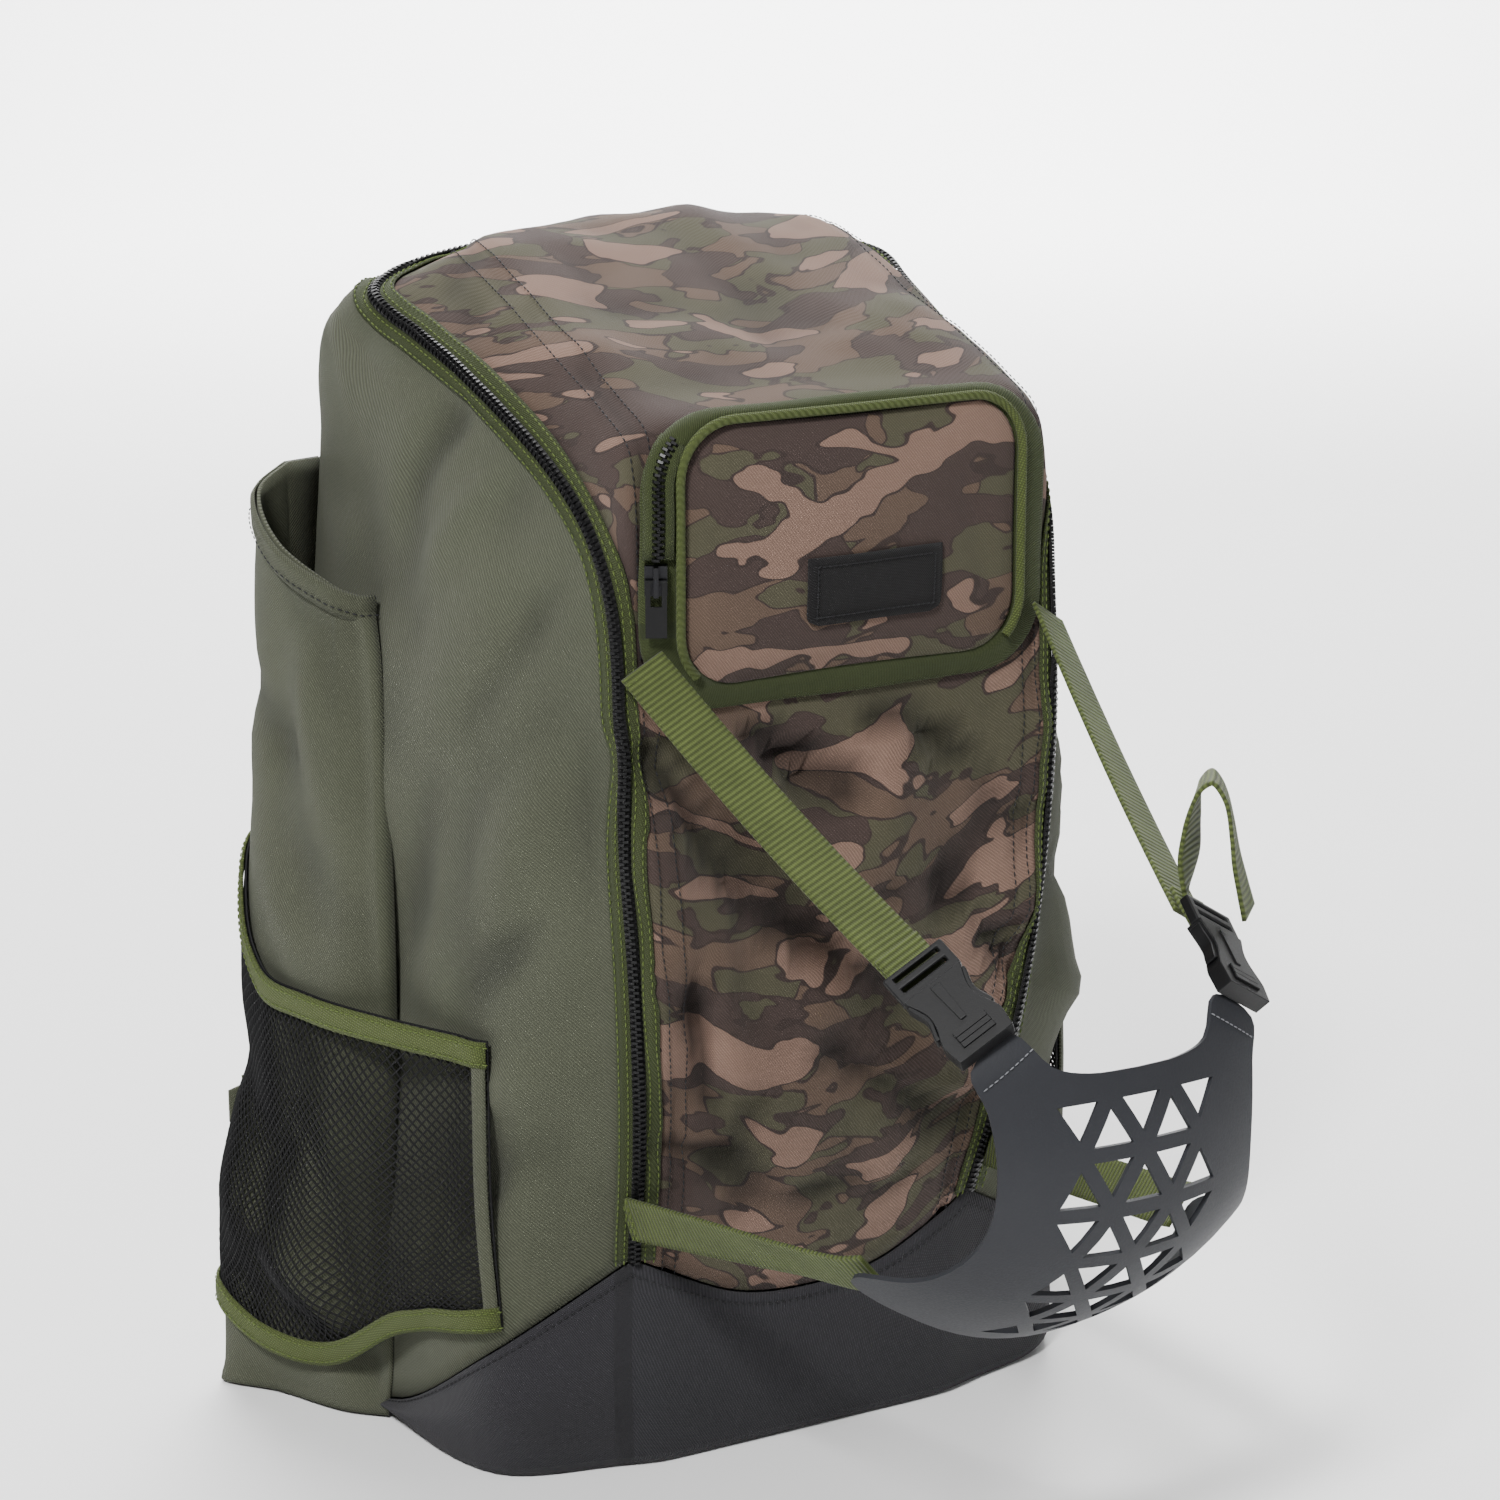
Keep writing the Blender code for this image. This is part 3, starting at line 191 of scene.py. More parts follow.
# Carrier: its middle line from the top edge down (the length along the sheet, and how far back
# and down it has gone), and the right half of its flat outline, drawn this wide at its waist
CARRIER_BEND = (
    (-0.022, 0.010, -0.018), (0.000, 0.000, 0.000), (0.036, -0.007, 0.035), (0.071, -0.003, 0.070),
    (0.109, 0.018, 0.102), (0.153, 0.053, 0.128), (0.197, 0.093, 0.147),
)
CARRIER_OUTLINE = (
    (0.000, 0.003), (0.020, 0.002), (0.034, -0.003), (0.046, -0.020), (0.064, -0.008),
    (0.060, 0.012), (0.058, 0.036), (0.059, 0.056), (0.064, 0.080), (0.074, 0.106), (0.090, 0.138),
    (0.087, 0.154), (0.062, 0.153), (0.030, 0.157), (0.000, 0.158),
)
DRAWN_HALF = 0.058
BOWL_RADIUS_TOP = 0.150
BOWL_RADIUS_LOW = 0.095
LOW_FACING = (0.96, -0.10, -0.20)

# Where the carrier's straps end: on the bag by side and height, on the sheet across and down it
UPPER_ANCHOR = (0.095, 0.364)
LOWER_ANCHOR = (0.089, 0.119)
UPPER_ARM = (CARRIER_HALF * 0.95, -0.014)
LOWER_ARM = (0.082, 0.146)

# Folds of the front and the pocket, by side and height, and puckers of the green sides and the
# sleeves, by depth and height: where each starts and ends, its width, and how far it stands out
FRONT_FOLDS = (
    (-0.098, 0.342, -0.050, 0.262, 0.007, -0.012), (-0.088, 0.352, -0.030, 0.290, 0.008, 0.009),
    (-0.060, 0.340, 0.000, 0.300, 0.006, -0.010), (-0.030, 0.338, 0.030, 0.312, 0.007, 0.008),
    (0.000, 0.335, 0.075, 0.305, 0.007, -0.010), (0.045, 0.332, 0.092, 0.286, 0.008, 0.008),
    (-0.094, 0.300, -0.062, 0.215, 0.009, 0.010), (-0.076, 0.262, -0.060, 0.165, 0.007, -0.010),
    (-0.052, 0.262, 0.020, 0.212, 0.009, -0.009), (-0.030, 0.288, 0.050, 0.258, 0.010, 0.008),
    (0.010, 0.235, 0.075, 0.238, 0.010, 0.008), (0.040, 0.262, 0.088, 0.205, 0.008, -0.009),
    (-0.088, 0.155, -0.030, 0.132, 0.007, -0.009), (-0.070, 0.200, -0.010, 0.160, 0.011, 0.009),
    (-0.010, 0.190, 0.060, 0.140, 0.009, -0.008), (0.030, 0.175, 0.088, 0.150, 0.009, 0.008),
    (-0.040, 0.118, 0.050, 0.112, 0.006, -0.006), (-0.050, 0.495, 0.050, 0.478, 0.012, -0.004),
)
SIDE_FOLDS = (
    (-0.105, 0.400, -0.060, 0.330, 0.010, -0.005), (-0.110, 0.330, -0.070, 0.250, 0.011, 0.005),
    (-0.105, 0.255, -0.060, 0.210, 0.009, -0.005), (-0.105, 0.190, -0.055, 0.160, 0.009, 0.005),
    (-0.090, 0.150, -0.050, 0.100, 0.009, -0.005), (-0.060, 0.440, -0.020, 0.380, 0.010, 0.005),
    (-0.030, 0.470, 0.000, 0.410, 0.010, -0.005), (-0.040, 0.300, -0.010, 0.200, 0.012, -0.005),
)
POCKET_FOLDS = (
    (-0.060, 0.440, 0.040, 0.452, 0.007, 0.0014), (-0.070, 0.420, -0.030, 0.375, 0.008, -0.0016),
    (0.050, 0.430, 0.066, 0.375, 0.007, -0.0014), (-0.030, 0.368, 0.050, 0.362, 0.006, 0.0012),
)
SLEEVE_FOLDS = (
    (0.060, 0.055, -0.010, 0.020, 0.012, -0.006), (0.075, 0.100, 0.000, 0.050, 0.013, 0.005),
    (0.085, 0.170, 0.020, 0.110, 0.012, -0.005), (0.060, 0.260, 0.020, 0.200, 0.012, 0.005),
    (0.080, 0.330, 0.030, 0.290, 0.012, -0.005), (0.040, 0.360, 0.010, 0.250, 0.011, 0.005),
)

# Stitches, buckles, the dip beside the pocket's edge, and the front's seams
SPINDLE_SIDES = 5
CORD_SIDES = 10
PRONG_WIDTH = 0.0022
FOLD_BACK = ((-0.0105, STRAP_THICK + SIDE_SEAT), (-0.004, STRAP_THICK + SIDE_SEAT),
             (0.003, 0.0030), (0.010, 0.0034), (0.016, 0.0034))
EDGE_DIP = 0.0012
SEAM_GROOVE = 0.0016

# Fine sampling of the nets
ROW_STEPS = 8
COLUMN_STEPS = 8
RING_STEPS = 8
STEEPEST = 0.3
NET_CLEAR = 0.0025
CELL_WIDTH = 0.0046
CELL_HEIGHT = 0.0050

# sRGB colours, 0 to 255
GREEN = (80, 83, 67)
OLIVE = (80, 91, 45)
OLIVE_DARK = (60, 69, 36)
BOOT = (47, 46, 50)
CARRIER_GREY = (40, 41, 45)
BLACK = (12, 12, 13)
CAMO_BROWN = (98, 80, 68)
CAMO_TAN = (133, 107, 94)
CAMO_PLUM = (70, 57, 53)
CAMO_GREEN = (80, 77, 60)

SIDES = (("right", np.array([1, 1, 1])), ("left", np.array([-1, 1, 1])))
OUT_BACK = np.array((0.0, 1.0, 0.0))
FRONT_Y = -BODY_DEPTH / 2
BACK_Y = BODY_DEPTH / 2
HALF = BODY_WIDTH / 2


def unit(vectors):
    """Directions of length one."""
    return vectors / np.maximum(np.linalg.norm(vectors, axis=-1, keepdims=True), 1e-12)


def spline(points, count):
    """Points on a smooth curve through the given ones, evenly many on each of its spans."""
    points = np.asarray(points, float)
    span = np.diff(points, axis=0)
    size = np.maximum(np.linalg.norm(span, axis=-1, keepdims=True), 1e-9)
    speed = span / size
    inner = (points[2:] - points[:-2]) / (size[:-1] + size[1:])
    slope = np.concatenate([speed[:1], inner, speed[-1:]])
    spots = np.linspace(0, len(points) - 1, count)
    k = np.minimum(spots.astype(int), len(points) - 2)
    t = (spots - k).reshape((-1,) + (1,) * (points.ndim - 1))
    return ((1 + 2 * t) * (1 - t) ** 2 * points[k] + t * (1 - t) ** 2 * size[k] * slope[k]
            + t ** 2 * (3 - 2 * t) * points[k + 1] + t ** 2 * (t - 1) * size[k] * slope[k + 1])


def dense(net, row_steps, column_steps):
    """A net of rows and columns, resampled smoothly both ways."""
    rows = spline(net, (len(net) - 1) * row_steps + 1)
    columns = np.swapaxes(rows, 0, 1)
    return np.swapaxes(spline(columns, (len(columns) - 1) * column_steps + 1), 0, 1)


def bag_line(foot, rows):
    """The points of one of the lines up the bag."""
    low = BASE_HEIGHT * foot
    return np.array([(HALF * out, BODY_DEPTH * (0.5 - forward), low + (BAG_HEIGHT - low) * rise)
                     for out, forward, rise in rows])


def mirrored(points):
    """The points on the bag's other side."""
    return np.asarray(points) * (-1.0, 1.0, 1.0)


def mirrored_grid(grid):
    """The grid on the bag's other side, its columns turned so that it still faces out."""
    return mirrored(grid)[:, ::-1]


def toward(points, others, distance):
    """Points moved this far toward the others."""
    return points + unit(others - points) * distance


def walk(rows, distance):
    """On each row of points, the point this far along it from its start."""
    found = []
    for row in rows:
        left = distance
        for here, there in zip(row[:-1], row[1:]):
            length = np.linalg.norm(there - here)
            if left <= length:
                break
            left -= length
        found.append(here + (there - here) * left / length)
    return np.array(found)


def grid_faces(rows, columns, closed=False):
    """The faces of a grid whose points are numbered along its rows."""
    last = columns if closed else columns - 1
    return [(j + i, j + (i + 1) % columns, j + columns + (i + 1) % columns, j + columns + i)
            for j in range(0, (rows - 1) * columns, columns) for i in range(last)]


def tree_of(*grids):
    """A surface that points can be seated on."""
    points, faces = [], []
    for grid in grids:
        first = len(points)
        points += [Vector(p) for p in grid.reshape(-1, 3)]
        faces += [tuple(first + k for k in face) for face in grid_faces(*grid.shape[:2])]
    return BVHTree.FromPolygons(points, faces)


def cast(tree, start, direction, lift):
    """Where a straight line meets the surface, drawn back along it to stand off the surface."""
    direction = Vector(direction)
    spot, facing = tree.ray_cast(Vector(start), direction)[:2]
    return np.array(spot - direction * lift / max(abs(direction.dot(facing)), STEEPEST))


def on_side(y, z, lift):
    """A point beside the bag's right side, and below the sole's lip beside the lip itself."""
    spot = cast(SKIN, (2 * BODY_WIDTH, y, max(z, 1.2 * SOLE_LIP)), (-1, 0, 0), lift)
    return np.array([spot[0], y, z])


def on_front(x, z, lift):
    """A point before the bag's front."""
    return cast(SKIN, (x, -3 * BODY_DEPTH, z), (0, 1, 0), lift)


def rounded_ring(half_width, low, high, radius):
    """(x, z) points round a rectangle with round corners, once round from its lower left. Each
    corner and each side between two corners takes RING_STEPS + 1 and RING_STEPS points."""
    side, low, high = half_width - radius, low + radius, high - radius
    arcs = [[(x + radius * math.cos(t), z + radius * math.sin(t))
             for t in np.radians(np.linspace(start, start + 90, RING_STEPS + 1))]
            for x, z, start in ((-side, low, 180), (side, low, 270), (side, high, 0),
                                (-side, high, 90))]
    ring = []
    for arc, ahead in zip(arcs, arcs[1:] + arcs[:1]):
        ring += arc + list(np.linspace(arc[-1], ahead[0], RING_STEPS + 2)[1:-1])
    return np.array(ring)


def symmetric(half, middle):
    """A fine grid through the lines of one half, the middle line and the other half's lines."""
    lines = half + [middle] + [mirrored(line) for line in reversed(half)]
    return dense(np.stack(lines, axis=1), ROW_STEPS, COLUMN_STEPS)


def body_grids():
    """The front panel's and the body's outer surfaces, which share the line of the zip."""
    zip_line, seam, middle, hip, side, corner = (
        bag_line(*line)
        for line in (ZIP_LINE, SEAM_LINE, MIDDLE_LINE, HIP_LINE, SIDE_LINE, CORNER_LINE))
    quarter = seam + 0.8 * (middle - seam)
    quarter[:, 0] = seam[:, 0] / 2
    front = symmetric([mirrored(line) for line in (zip_line, seam, quarter)], middle)
    back = corner * (0, 1, 1)
    back[-1] = middle[-1]
    before = toward(corner, side, CORNER_ROUND)
    after = toward(corner, back, CORNER_ROUND)
    # The body's last row lies on the front panel's, where the zip crosses the top.
    top = front[-1]
    for line in (hip, side, before, after):
        line[-1, 1:] = [np.interp(line[-1, 0], top[:, 0], top[:, k]) for k in (1, 2)]
    body = symmetric([zip_line, hip, side, before, after], back)
    body[..., 1] = np.minimum(body[..., 1], BACK_Y)
    return front, body


def base_grid(front, body):
    """The boot's rings: its sole, the top of its rounded lip and its rim under the shell."""
    ring = np.concatenate([front[0], body[0, 1:-1]])
    rim = ring - (0, 0, SEAM_GAP)
    lip = np.minimum(SOLE_LIP, rim[:, 2:] / 2)
    knee = np.concatenate([rim[:, :2], lip], axis=1)
    sole = toward(knee, np.zeros(3), SOLE_LIP) * (1, 1, 0)
    return np.stack([sole, knee, rim])


def pocket_rings():
    """The front pocket's root ring on the panel and its front ring."""
    low = POCKET_TOP - POCKET_HEIGHT
    root = rounded_ring(POCKET_WIDTH / 2 + POCKET_FLARE, low - POCKET_FLARE / 2,
                        POCKET_TOP - SEAM_GAP, POCKET_CORNER + POCKET_FLARE / 2)
    front = rounded_ring(POCKET_WIDTH / 2, low, POCKET_TOP, POCKET_CORNER)
    face_y = on_front(0, low + POCKET_HEIGHT / 2, 0)[1] - POCKET_PROUD
    return (np.array([on_front(x, z, SIDE_SEAT) for x, z in root]),
            np.array([(x, face_y, z) for x, z in front]))


def side_net(rows, reach, height):
    """The coarse net of a sleeve or of the net over it."""
    return np.array([[(HALF + reach * out, BODY_DEPTH * (0.5 - forward), height * up)
                      for out, forward, up in row] for row in rows])


def carrier_point(across, down, out, table=np.array(CARRIER_BEND)):
    """Bends a point of the flat carrier sheet to its place on the bowl."""
    step = 0.012
    (back, drop), ahead, behind = (
        np.array([np.interp(along, table[:, 0], table[:, k]) for k in (1, 2)])
        for along in (down, down + step, down - step))
    slope = unit(ahead - behind)
    facing = np.array([0.0, -slope[1], -slope[0]])
    share = np.clip(down / table[-2, 0], 0, 1)
    radius = BOWL_RADIUS_TOP + (BOWL_RADIUS_LOW - BOWL_RADIUS_TOP) * share
    turn = across / radius
    place = np.array([0.0, FRONT_Y - CARRIER_OUT + back, CARRIER_TOP - drop])
    place = place - facing * radius * (1 - math.cos(turn))
    place[0] = radius * math.sin(turn)
    return place + out * (facing * math.cos(turn) + np.array([math.sin(turn), 0, 0]))


def lattice_holes():
    """The triangular holes of the carrier: rows of alternating up and down triangles."""
    row_height = LATTICE_SIDE * math.sqrt(3) / 2
    inset = LATTICE_BAR / 2
    wide = LATTICE_SIDE / 2 - inset * math.sqrt(3)
    holes = []
    for row in range(LATTICE_ROWS):
        for column in range(-LATTICE_HALF_COLUMNS, LATTICE_HALF_COLUMNS + 1):
            way = -1 if (row + column) % 2 else 1
            middle = column * LATTICE_SIDE / 2
            flat = LATTICE_TOP + (row if way > 0 else row + 1) * row_height
            near, tip = flat + way * inset, flat + way * (row_height - 2 * inset)
            holes.append(((middle - wide, near), (middle + wide, near), (middle, tip)))
    return holes


def frame_of(place, along, facing):
    """A matrix whose Y runs along, whose Z faces out and whose origin is at place."""
    y = Vector(along).normalized()
    x = y.cross(Vector(facing)).normalized()
    z = x.cross(y)
    return Matrix.Translation(Vector(place)) @ Matrix((x, y, z)).transposed().to_4x4()


def linear(colour, share=1.0):
    """A scene-linear colour with alpha from an sRGB one."""
    values = (((c / 255 + 0.055) / 1.055) ** 2.4 if c > 10 else c / 255 / 12.92 for c in colour)
    return (*(v * share for v in values), 1.0)


class Graph:
    """Short calls that add nodes to one material."""

    def __init__(self, name, roughness, sheen=0.0, metallic=0.0):
        self.material = bpy.data.materials.new(name)
        self.material.use_nodes = True
        self.tree = self.material.node_tree
        self.shader = self.tree.nodes["Principled BSDF"].inputs
        for key, value in (("Roughness", roughness), ("Metallic", metallic),
                           ("Sheen Weight", sheen), ("Specular IOR Level", 0.25)):
            self.shader[key].default_value = value

    def add(self, kind, inputs=(), output=0, **settings):
        """Adds a node with its settings and inputs, and gives one of its outputs."""
        node = self.tree.nodes.new(kind)
        for key, value in settings.items():
            setattr(node, key, value)
        for key, value in dict(inputs).items():
            if isinstance(value, bpy.types.NodeSocket):
                self.tree.links.new(value, node.inputs[key])
            else:
                node.inputs[key].default_value = value
        return node.outputs[output]

    def math(self, operation, a, b=0.0):
        return self.add("ShaderNodeMath", {0: a, 1: b}, operation=operation)

    def lifted(self, value):
        """Half of a value, and a half more."""
        return self.math("ADD", self.math("MULTIPLY", value, 0.5), 0.5)

    def cloth(self):
        """Lengths along the cloth, in metres: across it, and up it."""
        parts = self.add("ShaderNodeSeparateXYZ", {0: self.add("ShaderNodeUVMap", uv_map="cloth")})
        return parts.node.outputs[0], parts.node.outputs[1]

    def wave(self, across, along):
        """0 to 1 ripples, this many in each metre across the cloth and up it."""
        u, v = self.cloth()
        turns = self.math("ADD", self.math("MULTIPLY", u, across), self.math("MULTIPLY", v, along))
        return self.lifted(self.math("SINE", self.math("MULTIPLY", turns, math.tau)))

    def twill(self, pitch):
        """Slanting ribs, broken by their yarns."""
        return self.math("MULTIPLY", self.wave(1 / pitch, 0.8 / pitch),
                         self.lifted(self.wave(0.9 / pitch, -1.1 / pitch)))

    def noise(self, scale, detail=2.0, vector=None, distortion=0.0, rough=0.5):
        if vector is None:
            vector = self.add("ShaderNodeTexCoord", output="Object")
        return self.add("ShaderNodeTexNoise", {
            "Vector": vector, "Scale": scale, "Detail": detail, "Distortion": distortion,
            "Roughness": rough})

    def mix(self, share, a, b):
        return self.add("ShaderNodeMix", {0: share, 6: a, 7: b}, output=2, data_type="RGBA")

    def ramp(self, value, low, high):
        """value mapped from low..high to 0..1 and held there."""
        return self.add("ShaderNodeMapRange", {0: value, 1: low, 2: high, 3: 0.0, 4: 1.0})

    def shade(self, share, colour):
        """The colour, darkened by this share."""
        return self.mix(share, colour, linear((0, 0, 0)))

    def with_painted_crease_shade(self, colour, most):
        """The colour, darkened by painted crease shade where the mesh's own attribute for it says
        so.
        """
        painted_crease_shade = self.add("ShaderNodeAttribute", output=2, attribute_name="painted_crease_shade")
        return self.shade(self.math("MULTIPLY", painted_crease_shade, most), colour)

    def finish(self, colour, height, strength, distance):
        """Links the colour and the relief, and gives the material."""
        self.tree.links.new(colour, self.shader["Base Color"])
        bump = self.add("ShaderNodeBump", {"Height": height, "Strength": strength,
                                           "Distance": distance})
        self.tree.links.new(bump, self.shader["Normal"])
        return self.material


def woven(name, base, depth=0.38, pitch=0.0013, rough=0.85):
    """Twill over slow changes of tone, darkened in the creases by painted shade."""
    g = Graph(name, rough, sheen=0.05)
    height = g.twill(pitch)
    tone = g.math("ADD", g.math("MULTIPLY", g.noise(14, 3), 0.5),
                  g.math("MULTIPLY", g.noise(900, 2), 0.5))
    colour = g.mix(height, linear(base, 1 - depth), linear(base, 1 + depth))
    colour = g.mix(g.ramp(tone, 0.2, 0.8), g.shade(0.35, colour), colour)
    # Painted shade: the colour is darkened where the mesh marks creases.
    return g.finish(g.with_painted_crease_shade(colour, 0.42), height, 0.7, 0.0006)


def camouflage(name):
    """A generic woodland print: rounded patches in four tones with dark rims, on twill, darkened in
    the creases by painted shade.
    """
    g = Graph(name, 0.85, sheen=0.05)
    u, v = g.cloth()
    colour = linear(CAMO_BROWN)
    for seed, scale, cut, tone in ((3.1, 21, 0.50, CAMO_GREEN), (7.7, 24, 0.54, CAMO_PLUM),
                                   (1.3, 20, 0.575, CAMO_TAN)):
        spot = g.add("ShaderNodeCombineXYZ", {0: u, 1: g.math("MULTIPLY", v, 1.9), 2: seed})
        field = g.noise(scale, 2.2, spot, 0.35, 0.45)
        colour = g.mix(g.ramp(field, cut - 0.016, cut - 0.012), colour, linear(CAMO_PLUM, 0.75))
        colour = g.mix(g.ramp(field, cut, cut + 0.004), colour, linear(tone))
    height = g.twill(0.0013)
    colour = g.shade(g.math("MULTIPLY", g.math("SUBTRACT", 1.0, height), 0.38), colour)
    # Painted shade: the print is darkened where the mesh marks creases.
    return g.finish(g.with_painted_crease_shade(colour, 0.66), height, 0.5, 0.0006)


def webbing(name, base, pitch=0.0026):
    """Ribs across the strap, each of fine yarns."""
    g = Graph(name, 0.7, sheen=0.05)
    height = g.math("ADD", g.math("MULTIPLY", g.wave(0, 1 / pitch), 0.8),
                    g.math("MULTIPLY", g.wave(1 / 0.0009, 0.5 / pitch), 0.2))
    colour = g.mix(height, linear(base, 0.42), linear(base, 1.25))
    colour = g.mix(g.ramp(g.noise(60, 3), 0.35, 0.7), g.shade(0.2, colour), colour)
    return g.finish(colour, height, 0.8, 0.0008)


def knitted(name, base, pitch=0.0011):
    """Elastic binding: short offset loops."""
    g = Graph(name, 0.8, sheen=0.05)
    height = g.math("MULTIPLY", g.wave(1 / pitch, 0.35 / pitch), g.wave(0.25 / pitch, 1 / pitch))
    colour = g.mix(g.ramp(height, 0.0, 0.8), linear(base, 0.5), linear(base, 1.2))
    return g.finish(colour, height, 0.7, 0.0006)


def coated(name, base, rough=0.5, grain=0.12, scale=1400, tone=0.12, metallic=0.0):
    """A smooth coated sheet or moulding with a fine grain."""
    g = Graph(name, rough, metallic=metallic)
    field = g.noise(scale, 2)
    g.tree.links.new(g.add("ShaderNodeMapRange", {0: field, 3: rough - 0.08, 4: rough + 0.10}),
                     g.shader["Roughness"])
    colour = g.mix(g.ramp(g.noise(9, 3), 0.3, 0.7), linear(base, 1 - tone), linear(base, 1 + tone))
    return g.finish(colour, field, grain, 0.0004)


def air_mesh(name, base, pitch=0.004):
    """Padded spacer mesh: a grid of small dimples."""
    g = Graph(name, 0.85, sheen=0.2)
    height = g.math("MULTIPLY", g.wave(1 / pitch, 1.7 / pitch), g.wave(1 / pitch, -1.7 / pitch))
    colour = g.mix(g.ramp(height, 0.1, 0.6), linear(base, 1.6), linear(base, 0.4))
    return g.finish(colour, height, 1.0, -0.0012)


def lengths(grid):
    """Arc lengths across and up a grid, so that patterns keep their true scale."""
    across = np.linalg.norm(np.diff(grid, axis=1), axis=-1)
    up = np.linalg.norm(np.diff(grid, axis=0), axis=-1)
    u = np.concatenate([np.zeros((len(grid), 1)), np.cumsum(across, axis=1)], axis=1)
    v = np.concatenate([np.zeros((1, grid.shape[1])), np.cumsum(up, axis=0)], axis=0)
    return u - u[:, [u.shape[1] // 2]], v


def piece(name, mesh, finish, slot, *nodes, soft=True):
    """Adds a visible piece that stands for these CAD nodes and rides on the bag."""
    mesh.materials.append(finish)
    obj = linked(name, mesh)
    if soft:
        mesh.shade_smooth()
    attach(obj, "bag")
    if nodes:
        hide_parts(*nodes)
    return obj


def mesh_of(name, verts, faces):
    """A mesh of these points and faces."""
    mesh = bpy.data.meshes.new(name)
    mesh.from_pydata([tuple(v) for v in verts], [], faces)
    return mesh


def linked(name, data):
    """Puts data into the scene as an object."""
    obj = bpy.data.objects.new(name, data)
    bpy.context.scene.collection.objects.link(obj)
    return obj


def facing_out(mesh):
    """Turns the faces of a closed mesh outward."""
    work = bmesh.new()
    work.from_mesh(mesh)
    bmesh.ops.recalc_face_normals(work, faces=work.faces)
    work.to_mesh(mesh)
    work.free()
    return mesh


def rounded_edges(obj, width, segments, angle):
    """Bevels the edges that are sharper than this many degrees."""
    edge = obj.modifiers.new("Edges", "BEVEL")
    edge.width = width
    edge.segments = segments
    edge.limit_method = "ANGLE"
    edge.angle_limit = math.radians(angle)
    return edge


def crease_shade_amounts(grid, plain):
    """0 to 1: how far each point lies in a crease, for the painted shade that darkens the cloth
    there.
    """
    height = np.sum((grid - plain) * normals(plain), axis=-1)
    around = height
    for _ in range(14):
        wide = np.pad(around, 1, mode="edge")
        around = (wide[:-2, 1:-1] + wide[2:, 1:-1] + wide[1:-1, :-2] + wide[1:-1, 2:]) / 4
    return np.clip((around - height) / 0.0035, 0, 1)


def cloth_mesh(name, grid, closed=False, cap=None, plain=None):
    """A grid's mesh, with its lengths in metres as UVs and, below a plain grid, the amounts of
    painted shade in its hollows.
    """
    rows, columns = grid.shape[:2]
    faces = grid_faces(rows, columns, closed)
    if cap == "first":
        faces.append(tuple(reversed(range(columns))))
    if cap == "last":
        faces.append(tuple(range((rows - 1) * columns, rows * columns)))
    mesh = mesh_of(name, grid.reshape(-1, 3), faces)
    # Painted shade: how deep each point sinks below the plain grid is stored to darken the cloth's
    # colour.
    if plain is not None:
        crease_shade_layer = mesh.attributes.new("painted_crease_shade", "FLOAT", "POINT")
        crease_shade_layer.data.foreach_set("value", crease_shade_amounts(grid, plain).reshape(-1))
    places = np.stack(lengths(grid if plain is None else plain), -1).reshape(-1, 2)
    set_places(mesh, places)
    return mesh


def set_places(mesh, places):
    """Gives each point of a mesh its place in the layer that the patterns follow."""
    layer = mesh.uv_layers.get("cloth") or mesh.uv_layers.new(name="cloth")
    picked = [loop.vertex_index for loop in mesh.loops]
    layer.data.foreach_set("uv", places[picked].reshape(-1))


def walled(obj, thick, outside=False):
    """Gives a sheet its thickness, inward or outward."""
    shell = obj.modifiers.new("Wall", "SOLIDIFY")
    shell.thickness = thick
    shell.offset = 1 if outside else -1
    return obj


def cloth(name, grid, thick, finish, slot, *nodes, outside=False, closed=False, cap=None,
          plain=None):
    """A soft sheet with real thickness from a fine grid."""
    mesh = cloth_mesh(name, grid, closed, cap, plain)
    return walled(piece(name, mesh, finish, slot, *nodes), thick, outside)


def normals(grid):
    """Outward directions at a fine grid's points."""
    return unit(np.cross(np.gradient(grid, axis=1), np.gradient(grid, axis=0)))


def wobble(points, scale, seed):
    """Smooth noise from -1 to 1 at each point; scale is how many features fit in a metre."""
    shift = Vector((seed * 7.3, seed * 3.1, seed * 5.7))
    found = [noise.noise(Vector(p) * scale + shift) for p in points.reshape(-1, 3)]
    return np.array(found).reshape(points.shape[:-1])


def along_pitch(points, pitch):
    """The polyline walked again in even steps of about the pitch."""
    steps = np.linalg.norm(np.diff(points, axis=0), axis=1)
    far = np.concatenate([[0], np.cumsum(steps)])
    spots = np.linspace(0, far[-1], max(2, int(round(far[-1] / pitch)) + 1))
    return np.stack([np.interp(spots, far, points[:, k]) for k in range(3)], axis=1)


def spread(directions, count):
    """This many directions, blended evenly from a shorter or longer table of them."""
    old, new = np.linspace(0, 1, len(directions)), np.linspace(0, 1, count)
    return unit(np.stack([np.interp(new, old, directions[:, k]) for k in range(3)], 1))


def nearest(tree, points, part=0):
    """Points dropped on a surface or, as part 1, the surface's directions there."""
    return np.array([tuple(tree.find_nearest(Vector(p))[part]) for p in points])


def smoothed(values):
    """A table of directions, smoothed along the line."""
    for _ in range(3):
        padded = np.concatenate([values[:1], values, values[-1:]])
        values = unit(padded[:-2] + padded[1:-1] + padded[2:])
    return values


